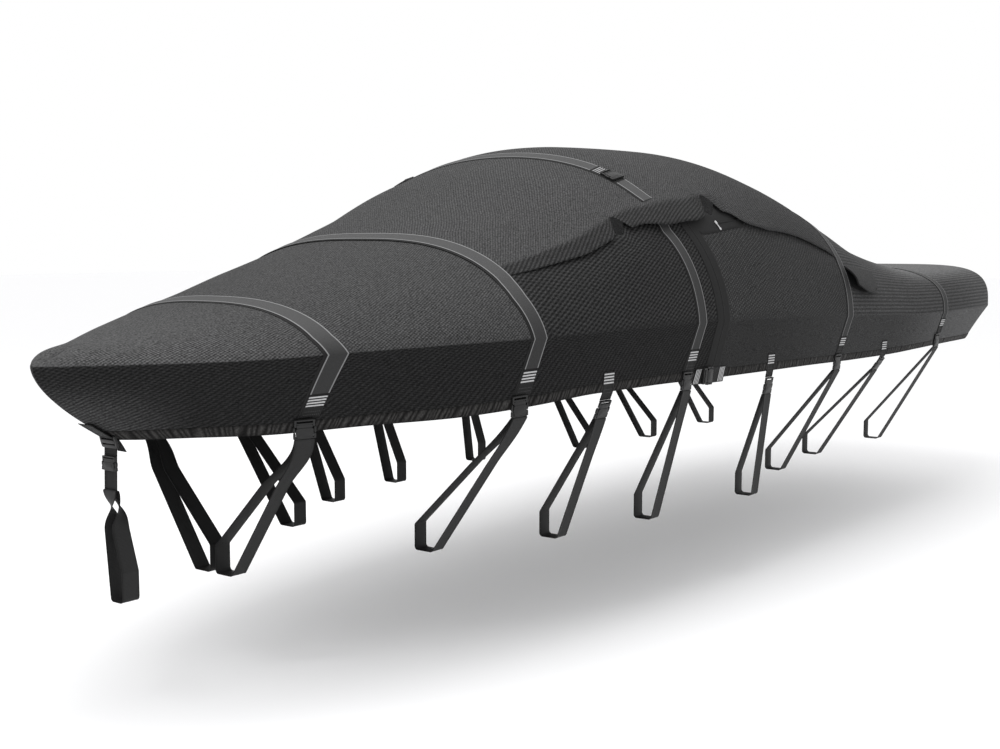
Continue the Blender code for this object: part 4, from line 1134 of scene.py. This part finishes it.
def bend(before, corner, after, radius, steps=7):
    """The arc that rounds one corner of a path; a slight corner stays as it is."""
    corner = np.array(corner)
    arms = [unit(np.array(p) - corner) for p in (before, after)]
    half = math.acos(np.clip(arms[0] @ arms[1], -1, 1)) / 2
    if math.pi - 2 * half < SLIGHT_TURN:
        return [corner]
    centre = corner + unit(arms[0] + arms[1]) * radius / math.sin(half)
    start, stop = [corner + arm * radius / math.tan(half) - centre for arm in arms]
    turn = math.pi - 2 * half
    weights = [(math.sin((1 - w) * turn), math.sin(w * turn)) for w in np.linspace(0, 1, steps + 1)]
    return [centre + (start * a + stop * b) / math.sin(turn) for a, b in weights]


def loop_path(throat, held_out, span):
    """The inside of a tie-down loop, from its throat down and round what it ties to, with
    points at most a loop pitch apart."""
    held = [(u, v) for u in (held_out, held_out - span) for v in (LOOP_BOTTOM, LOOP_BOTTOM + LOOP_RISE)]
    corners = taut_path(throat + held)
    first = max(range(len(corners)), key=lambda k: corners[k][1])
    corners = corners[first:] + corners[:first]
    points = []
    for k, corner in enumerate(corners):
        radius = THROAT_BEND if corner in throat else LOOP_BEND
        points += bend(corners[k - 1], corner, corners[(k + 1) % len(corners)], radius)
    points = np.array(points + [points[0]])
    run = run_of(points)
    even = np.linspace(0, run[-1], 2 + int(run[-1] / LOOP_PITCH))
    run_all = np.union1d(run, even)
    return np.stack([np.interp(run_all, run, points[:, k]) for k in (0, 1)], 1), run_all


def tie_loop(name, foot, wide, tilt, held_out, sign, span=LOOP_SPAN):
    """Tie-down webbing: hangs square to its buckle and turns square to the centre line lower down."""
    x, out, top = foot
    half = LOOP_THROAT / 2
    throat = [(float(out + half * math.cos(tilt)), float(top + half * math.sin(tilt))),
              (float(out - half * math.cos(tilt)), float(top - half * math.sin(tilt)))]
    path, run = loop_path(throat, held_out, span)
    step = np.gradient(path, axis=0)
    step[0] = step[-1] = step[0] + step[-1]
    normal = unit(np.stack([step[:, 1], -step[:, 0]], 1))
    yaw, climb = math.atan2(wide[1], wide[0]), wide[2] / math.hypot(wide[0], wide[1])
    turned_by = LOOP_SQUARE * LOOP_BOTTOM + (1 - LOOP_SQUARE) * top
    flat = path[:, None, :] + normal[:, None, :] * BAND[None, :, 1:]
    across, level, width = flat[..., 0] - out, flat[..., 1], np.broadcast_to(BAND[None, :, 0], flat.shape[:2])
    share = smooth(level, turned_by, top)
    angle = yaw * share
    points = np.stack([x + width * np.cos(angle) - across * np.sin(angle),
                       sign * (out + width * np.sin(angle) + across * np.cos(angle)),
                       level + width * climb * share], -1)
    faces = grid_quads(*points.shape[:2], closed_cols=True)
    shape = Shape()
    shape.add(points, faces if sign > 0 else faces[..., ::-1], u=width, v=run[:, None])
    piece = shape.build(name, [TIE], smooth_angle=50)
    fit(piece, "tie_down_webbing", name.replace("tie_webbing", "loop"))
    return declare(piece)


def cloth_height(station, start, out):
    """How far the cloth behind a buckle stands out past the plane through its start."""
    beside = station + np.linspace(-BUCKLE_CLEAR_HALF, BUCKLE_CLEAR_HALF, 7)
    spreads = np.linspace(2.0 - BUCKLE_CLEAR_ABOVE / hem_place(station)[2], 2.0, 7)
    station, spread = np.meshgrid(beside, spreads, indexing="ij")
    return float(((form(row_at(station, spread), spread) - start) @ out).max())


def hang_unit(name, station, start, hang, held_out):
    """Buckle and tie-down loop on both sides, from where the webbing ends."""
    wide = hem_place(station)[3]
    out = unit(np.cross(wide, hang))
    rise = max(cloth_height(station, start, out), 0.0) + SEWN_GAP + BUCKLE_THICK / 2
    centre = start + hang * (LOOP_GAP + BUCKLE_LENGTH / 2) + out * rise
    foot = centre + hang * (BUCKLE_LENGTH / 2 + LOOP_GAP + WEBBING)
    tilt = math.atan2(out[2], math.hypot(out[0], out[1]))
    for side, sign in SIDES:
        flip = np.array((1.0, sign, 1.0))
        clip = buckle(f"clip_{name}_{side}", centre * flip, hang * flip, out * flip, f"buckle_{name}_{side}")
        tie_loop(f"tie_webbing_{name}_{side}", foot, wide, tilt, held_out, sign)


def ribbon(name, node, path, ups, wide, past=None):
    """Webbing along a path of points: its face profile stands on the ups and lies along wide.
    The bars' top is past metres before the path's start, or the whole is dark webbing."""
    run = run_of(path)
    across, height = STRAP_FACE[:, :1], STRAP_FACE[:, 1:] + WEBBING
    points = path + wide * across[..., None] + ups * height[..., None]
    shape = Shape()
    # spread 1.5 gives this webbing the strap's darker flank tone, its painted shade
    shape.sheet(points, u=across, v=run, past_bars=DARK_WEBBING if past is None else run + past, spread=1.5)
    piece = shape.build(name, [STRAP], WEBBING)
    return declare(fit(piece, "tie_down_webbing", *node))


def smooth_run(path, ups):
    """A path and its ups, made even along the run and rounded at their corners."""
    run = run_of(path)
    even = np.linspace(0, run[-1], 3 + int(run[-1] / TAB_PITCH))
    both = np.concatenate([path, ups], 1)
    both = np.stack([np.interp(even, run, both[:, k]) for k in range(6)], 1)
    for _ in range(2):
        both[1:-1] = both[1:-1] * 0.5 + (both[:-2] + both[2:]) * 0.25
    return both[:, :3], unit(both[:, 3:])


TAB_SEWN, TAB_STRAIGHT = 0.090, 0.030
DARK_WEBBING = 0.12


def hem_tab(name, place, hang, drop, side, sign):
    """Webbing sewn above the hem that bends there and comes down to its buckle."""
    point, along, length, wide = place
    flip = np.array((1.0, sign, 1.0))
    face, out = unit(np.cross(wide, along)), unit(np.cross(wide, hang))
    lines = np.array([point - along * TAB_SEWN, point - along * TAB_STRAIGHT, point, point + hang * drop])
    ups = np.array([face, face, unit(face + out), out])
    path, ups = smooth_run(lines + ups * SEWN_GAP, ups)
    ribbon(f"webbing_{name}_{side}", [f"{name}_{side}"], path * flip, ups * flip,
           wide * flip * sign, 0.0)


# ---------------------------------------------------------------- stem, slit and crown fittings
STEM_SEWN_FROM, STEM_PROUD, STEM_CURVE = 1.72, 0.0006, 0.7
STEM_END_Z, STEM_HANG_X, STEM_HELD_OUT, STEM_SPAN = -1.395, -2.927, 0.100, 0.065
SLIDER_Z, CLIP_Z, TAIL_Z = -1.208, -1.300, -1.215
# the loose tail: where it starts from the tab, how it runs and curls, which way its face turns
TAIL_START, TAIL_RUN, TAIL_CURL = np.array(((0.004, -0.012, 0.0), (0.020, -0.002, -0.022),
                                            (0.006, -0.006, -0.024)))
TAIL_UP, TAIL_TURN, TAIL_NARROW = np.array((0.75, -0.15, 0.65)), np.array((0.15, 0.0, -0.35)), 0.62
SLIDER_PLATES = (
    (0.0, -0.0200, 0.0460, 0.0062, -0.0045, 0.0050, 4.0),
    (0.0, 0.0200, 0.0460, 0.0070, -0.0045, 0.0050, 4.0),
    (0.0, 0.0, 0.0400, 0.0075, -0.0010, 0.0062, 4.0),
    (-0.0415, 0.0, 0.0055, 0.0200, -0.0045, 0.0050, 4.0),
    (0.0415, 0.0, 0.0055, 0.0200, -0.0045, 0.0050, 4.0),
)
CLIP_PLATES = tuple((u * 0.98, v * 0.62, a, b * 0.62 + 0.0004, low, high, n)
                    for u, v, a, b, low, high, n in BUCKLE_PLATES)


def left_of(path):
    """Unit vectors square to a flat path, out of the bow."""
    step = np.gradient(path, axis=0)
    return unit(np.stack([step[:, 1], -step[:, 0]], 1))


def stem_path():
    """The line of the bow's own tab, on the centre line, and its outward directions."""
    spreads = np.linspace(STEM_SEWN_FROM, 2.0, 9)
    line = form(0.0, spreads)[:, (0, 2)]
    sewn = line + left_of(line) * STEM_PROUD
    level = np.linspace(sewn[-1, 1], STEM_END_Z, 14)[1:]
    share = (sewn[-1, 1] - level) / (sewn[-1, 1] - STEM_END_Z)
    back = sewn[-1, 0] + (STEM_HANG_X - sewn[-1, 0]) * share**STEM_CURVE
    path = np.concatenate([sewn, np.stack([back, level], 1)])
    return [np.insert(pair, 1, 0.0, axis=1) for pair in (path, left_of(path))]


def stem_fittings():
    """Bow tab, its slider and its side-release buckle, a loose tail and the loop below."""
    path, ups = stem_path()
    wide = np.array((0.0, -1.0, 0.0))
    ribbon("webbing_stem", ["stem_tab"], path, ups, -wide)
    for name, level, off, lean, plates in (("stem_slider", SLIDER_Z, 0.011, 0.30, SLIDER_PLATES),
                                           ("stem_clip", CLIP_Z, 0.0065, 0.02, CLIP_PLATES)):
        face = unit(np.array((-1.0, 0.0, -lean)))
        buckle(name, path[nearest(path[:, 2], level)] + face * off, np.array((lean, 0.0, -1.0)), face,
               plates=plates)
    share = np.linspace(0, 1, 12)[:, None]
    tail = path[nearest(path[:, 2], TAIL_Z)] + TAIL_START + TAIL_RUN * share + TAIL_CURL * share**2
    ribbon("stem_tail", [], tail, unit(TAIL_UP + TAIL_TURN * share), -wide * TAIL_NARROW)
    end = path[-1] + ups[-1] * WEBBING / 2
    foot = (end[0], 0.0, end[2] - LOOP_GAP - WEBBING)
    tie_loop("tie_webbing_stem", foot, wide, 0.0, STEM_HELD_OUT, -1.0, STEM_SPAN)


SLIT_ARM_TO, ARM_FOOT, ARM_SAMPLES = 0.22, 0.768, 10
FLAP_RISE, STITCH_DEEP, STITCH_WIDE, BINDING_CLOTH, TAPE_HALF = 0.0016, 0.0005, 0.004, 0.0015, 0.0040


def slit_facing(side, sign):
    """Binding over the slit: a lapped flap, an arm that runs aft under the second opening, and
    dark edge tape down the flap's edge."""
    samples = np.concatenate([np.linspace(TUCK_KNOT, 0.72, ARM_SAMPLES), np.linspace(0.735, 0.95, 16),
                              ROUND_EDGE, np.linspace(1.06, 2.0, 40)])
    band = np.concatenate([np.linspace(SLIT - FACING_HALF, SLIT - 0.006, 9), [SLIT, SLIT + 0.003],
                           np.linspace(SLIT + 0.010, SLIT + FACING_HALF, 8)])
    stations = np.concatenate([band, np.linspace(SLIT + FACING_HALF, SLIT_ARM_TO, 26)[1:]])
    station, sample = np.meshgrid(stations, samples, indexing="ij")
    spread = panel_spread(station, sample)
    share = (sample - TUCK_KNOT) / (samples[ARM_SAMPLES - 1] - TUCK_KNOT)
    on_arm = smooth(station, SLIT + 0.02, SLIT + 0.08) * (share <= 1)
    spread = spread + (tuck_edge(station) + share * (ARM_FOOT - tuck_edge(station)) - spread) * on_arm
    flap = smooth(station, SLIT - 0.052, SLIT - 0.030) * (1 - smooth(station, SLIT - 0.001, SLIT + 0.004))
    stitch = hump(station, SLIT - 0.030, STITCH_WIDE) + hump(station, SLIT + 0.040, STITCH_WIDE)
    lift = SEWN_GAP + BINDING_CLOTH + FLAP_RISE * flap - STITCH_DEEP * stitch
    points = raised(station, spread * sign, lift)
    keep = np.ones((len(stations) - 1, len(samples) - 1), bool)
    keep[len(band) - 1:, ARM_SAMPLES - 1:] = False
    shape = Shape()
    shape.sheet(points, keep=keep, side=sign, u=station - SLIT, v=girth(points))
    station, sample = np.meshgrid(SLIT + np.linspace(-TAPE_HALF, TAPE_HALF, 5), samples, indexing="ij")
    crest = FLAP_RISE * np.cos(np.linspace(-1.4, 1.4, 5))[:, None]
    tape = raised(station, panel_spread(station, sample) * sign, SEWN_GAP + 2 * BINDING_CLOTH + crest)
    shape.sheet(tape, slot=1, side=sign, u=0.0, v=0.0)
    piece = shape.build(f"facing_{side}", [BINDING, DARK_TAPE_AND_SHADOW], BINDING_CLOTH)
    declare(fit(piece, "binding_cloth", f"slit_facing_{side}"))


ZIP_FROM, ZIP_TO, ZIP_SPREAD, ZIP_HALF_SPREAD, ZIP_WIDE = 0.024, 0.205, 0.736, 0.0035, 0.010
ZIP_PROUD, ZIP_CROWN, TOOTH, TEETH, PULL_PROUD, PULL_LONG = 0.0034, 0.0012, 0.0005, 150, 0.0065, 0.02
PULL_PLATES = (
    (0.0, -0.004, 0.0075, 0.0100, -0.0020, 0.0028, 3.0),
    (0.0, 0.018, 0.0045, 0.0170, -0.0004, 0.0014, 3.0),
    (0.0, 0.033, 0.0075, 0.0075, -0.0008, 0.0020, 2.5),
)


def opening_zip(side, sign):
    """Zip of the second opening: dark teeth that run aft from a small metal pull."""
    station, across = np.meshgrid(np.linspace(ZIP_FROM, ZIP_TO, TEETH), np.linspace(-1, 1, 5), indexing="ij")
    teeth = TOOTH * (np.arange(TEETH) % 2)[:, None] * (abs(across) < 0.7)
    spread = (ZIP_SPREAD + across * ZIP_HALF_SPREAD) * sign
    shape = Shape()
    shape.sheet(raised(station, spread, ZIP_PROUD + ZIP_CROWN * (1 - across**2) + teeth), side=sign,
                u=station, v=across * ZIP_WIDE)
    piece = shape.build(f"zip_{side}", [DARK_TAPE_AND_SHADOW], THIN)
    declare(fit(piece, "binding_cloth"))
    head, foot = raised(ZIP_FROM, np.array((ZIP_SPREAD, ZIP_SPREAD + PULL_LONG)) * sign, PULL_PROUD)
    face = outward(row_at(ZIP_FROM, ZIP_SPREAD), ZIP_SPREAD * sign)
    buckle(f"zip_pull_{side}", head, foot - head, face, plates=PULL_PLATES, made=PULL_METAL)


CLOSURE_FROM, CLOSURE_TO, CLOSURE_BUCKLE = -0.364, -0.106, -0.262
CLOSURE_TOP, CLOSURE_FOOT = 1.80, 2.08
FIT_GAP = 0.0003


def closure(side, sign):
    """The strap and buckle that close the slit at the hem, with upright bars at its ends."""
    stations = np.linspace(CLOSURE_FROM, CLOSURE_TO, 60)
    across, height = STRAP_FACE.T
    station, share = np.meshgrid(stations, (across + HALF_WEB) / WEBBING_WIDTH, indexing="ij")
    spread = CLOSURE_TOP + (CLOSURE_FOOT - CLOSURE_TOP) * share
    lift = SEWN_GAP * 2 + BINDING_CLOTH + WEBBING
    points = raised(station, spread * sign, lift + height)
    along, _ = measured(points)
    shape = Shape()
    past = np.minimum(along, along[-1:] - along)
    # spread 1.9 gives this webbing the strap's darker flank tone, its painted shade
    shape.sheet(points, side=sign, u=across, v=along, past_bars=past, spread=1.9)
    piece = shape.build(f"closure_webbing_{side}", [STRAP], WEBBING)
    declare(fit(piece, "tie_down_webbing", f"closure_strap_{side}"))
    middle = (CLOSURE_TOP + CLOSURE_FOOT) / 2 * sign
    row = row_at(CLOSURE_BUCKLE, middle)
    face = outward(row, middle)
    along = form(row_at(CLOSURE_BUCKLE + HALF_WEB, middle), middle)
    along = along - form(row_at(CLOSURE_BUCKLE - HALF_WEB, middle), middle)
    rise = lift + FIT_GAP * 2 + BUCKLE_THICK / 2
    buckle(f"clip_closure_{side}", form(row, middle) + face * rise, along, face, f"buckle_closure_{side}")


def crown_buckle(side, sign):
    """A buckle flat on the crown strap's run."""
    edges, samples = np.array(web(CROWN_STRAP))[:, None], np.array([SEAT_SPREADS]) * sign
    run = raised(edges, samples, on_crown(edges, samples) + WEBBING + STRAP_FACE[:, 1].max())
    inner, outer = run.mean(axis=0)
    down = unit(outer - inner)
    face = unit(np.cross(run[1].mean(axis=0) - run[0].mean(axis=0), down)) * sign
    seat = inner + (outer - inner) * BUCKLE_SHARE
    rise = ((run - seat) @ face).max() + FIT_GAP + BUCKLE_THICK / 2
    buckle(f"clip_crown_{side}", seat + face * rise, down, face, f"buckle_crown_{side}")


VENT_CORNERS = ((1.32, 0.80), (1.83, 0.72), (1.70, 0.93), (1.30, 0.89))
VENT_RISE, VENT_FLARE, VENT_SEAT, VENT_RIM, VENT_TAPER = 0.055, 0.8, 0.0008, 0.0028, 0.42
VENT_MIDDLE, HOOD_WIDE, MESH_WIDE, MESH_PROUD = (1.5, 0.85), 0.3, 0.2, 0.0012


def vent_grid(aft, down, sign, extra):
    """The hood's own grid: aft and down go from 0 to 1 between its four corners."""
    (x0, t0), (x1, t1), (x2, t2), (x3, t3) = VENT_CORNERS
    down = down * (1 - VENT_TAPER * aft**3)
    station = (x0 + (x1 - x0) * aft) * (1 - down) + (x3 + (x2 - x3) * aft) * down
    spread = (t0 + (t1 - t0) * aft) * (1 - down) + (t3 + (t2 - t3) * aft) * down
    rise = VENT_RISE * np.cos(aft * math.pi / 2) ** VENT_FLARE * np.sin(down * math.pi / 2)
    return raised(station, spread * sign, SEWN_GAP + VENT_SEAT + rise * extra)


def vent(side, sign):
    """A hood sewn down along its top and aft edges, open in front and below, over dark mesh."""
    normal = outward(row_at(*VENT_MIDDLE), VENT_MIDDLE[1] * sign)
    aft, down = np.meshgrid(np.linspace(0, 1, 40), np.linspace(0, 1, 30), indexing="ij")
    points = vent_grid(aft, down, sign, 1.0) + normal * CLOTH
    shape = Shape()
    shape.sheet(points, side=sign, u=aft * 0.45, v=down * 0.25, station=1.8, spread=1.3)
    turn = np.linspace(0, TURN, 9)[:, None, None]
    turn_x, turn_y = np.cos(turn), np.sin(turn)
    for run in (points[0], points[:, -1]):
        ahead = unit(np.gradient(run, axis=0))
        beside = unit(np.cross(ahead, normal))
        ring = turn_x * beside + turn_y * np.cross(beside, ahead)
        shape.sheet(run[None] + ring * VENT_RIM, slot=1, u=0.0, v=0.0)
    piece = shape.build(f"vent_hood_{side}", [PANEL_CLOTH, DARK_TAPE_AND_SHADOW], CLOTH)
    declare(fit(piece, "cover_cloth_side", f"vent_{side}"))
    aft, down = np.meshgrid(np.linspace(0.02, 0.98, 26), np.linspace(0.04, 1.0, 14), indexing="ij")
    shape = Shape()
    shape.sheet(vent_grid(aft, down, sign, 0.0) + normal * MESH_PROUD, side=sign, u=aft, v=down)
    piece = shape.build(f"vent_mesh_{side}", [DARK_TAPE_AND_SHADOW], THIN)
    declare(fit(piece, "cover_cloth_side"))


# ---------------------------------------------------------------- the cover
# where each one's webbing ends above the hem, and how far out its loop is held
HANG_COLUMNS = ("name", "station", "end_above", "held_out")
STRAPS = (
    ("bow", BOW_STRAP, 0.068, 0.107),
    ("fore", FORE_STRAP, 0.055, 0.460),
    ("mid", MID_STRAP, 0.046, 0.850),
    ("aft", AFT_STRAP, 0.044, 0.720),
    ("stern", STERN_STRAP, 0.076, 0.680),
)
TABS = (
    ("fore_tab", FORE_TAB, -0.038, 0.730),
    ("mid_tab", MID_TAB, -0.034, 0.950),
    ("aft_tab", AFT_TAB, -0.014, 0.640),
)
AHEAD_OF_ALL, AFT_OF_ALL = -9.0, 9.0


def build_panels():
    """Front and aft panels with their hems, and the crown over them."""
    slit_fore, slit_aft = SLIT - SLIT_HALF_GAP, SLIT + SLIT_HALF_GAP
    stations = with_knots(even_stations(NOSE, slit_fore, PANEL_PITCH, 1.0), (CROWN_FROM + WEBBING_WIDTH,))
    panel("front_cloth", stations, CROWN_FROM + WEBBING_WIDTH, AFT_OF_ALL)
    stations = with_knots(even_stations(slit_aft, STERN_END, PANEL_PITCH, 1.0), (CROWN_TO - WEBBING_WIDTH,))
    panel("aft_cloth", stations, AHEAD_OF_ALL, CROWN_TO - WEBBING_WIDTH)
    hem("hem_fore", NOSE, slit_fore - HEM_SHORT)
    hem("hem_aft", slit_aft + HEM_SHORT, STERN_END)
    crown()


def build_straps():
    """The straps over the cover with their buckles and loops, and the tabs between them."""
    for name, station, end_above, held_out in STRAPS:
        point, along, length, wide = hem_place(station)
        hang_unit(name, station, point - along * end_above, along, held_out)
        if name == "mid":
            for side, sign in SIDES:
                flank_strap(side, sign, end_above)
        else:
            deck_strap(name, station, end_above, over_crown_end if name in ("fore", "aft") else on_panel)
    for name, station, end_above, held_out in TABS:
        place = point, along, length, wide = hem_place(station)
        target = np.array((point[0], held_out - LOOP_SPAN / 2, LOOP_BOTTOM)) - point
        hang = unit(target - wide * (target @ wide))
        hang_unit(name, station, point - hang * end_above, hang, held_out)
        for side, sign in SIDES:
            hem_tab(name, place, hang, -end_above, side, sign)
    crown_strap()
    stem_fittings()


def build_fittings():
    """What each side has besides: the slit's binding and closure, zip, crown buckle and vent."""
    for side, sign in SIDES:
        for make in (slit_facing, opening_zip, closure, crown_buckle, vent):
            make(side, sign)


def lay_floor():
    """Pale floor that glows a little, so that it runs into the white round it."""
    finish = Finish("studio_floor", 0.9, specular=0.1)
    finish.done(grey(0.88))
    finish.shader.inputs["Emission Color"].default_value = (1, 1, 1, 1)
    finish.shader.inputs["Emission Strength"].default_value = FLOOR_GLOW
    mesh = bpy.data.meshes.new("studio_floor")
    corners = [(x * FLOOR_HALF, y * FLOOR_HALF, FLOOR_Z) for x, y in ((-1, -1), (1, -1), (1, 1), (-1, 1))]
    mesh.from_pydata(corners, [], [(0, 1, 2, 3)])
    mesh.materials.append(finish.material)
    floor = bpy.data.objects.new("studio_floor", mesh)
    bpy.context.scene.collection.objects.link(floor)


def light():
    """White surroundings, a large soft light overhead and one ahead of the port bow."""
    world = bpy.data.worlds.new("studio")
    bpy.context.scene.world = world
    world.use_nodes = True
    background = world.node_tree.nodes["Background"]
    background.inputs["Color"].default_value = (1, 1, 1, 1)
    background.inputs["Strength"].default_value = 1.0
    bpy.context.scene.view_settings.view_transform = "Standard"
    softbox("overhead", (-1.5, -0.5, 5.0), (0.6, 0.3, -0.6), (5.0, 3.5), 260)
    softbox("port_bow", (-6.5, -1.0, 3.2), (-1.0, 0.2, -0.5), (3.0, 2.0), 120)


build_panels()
build_straps()
build_fittings()
lay_floor()
light()
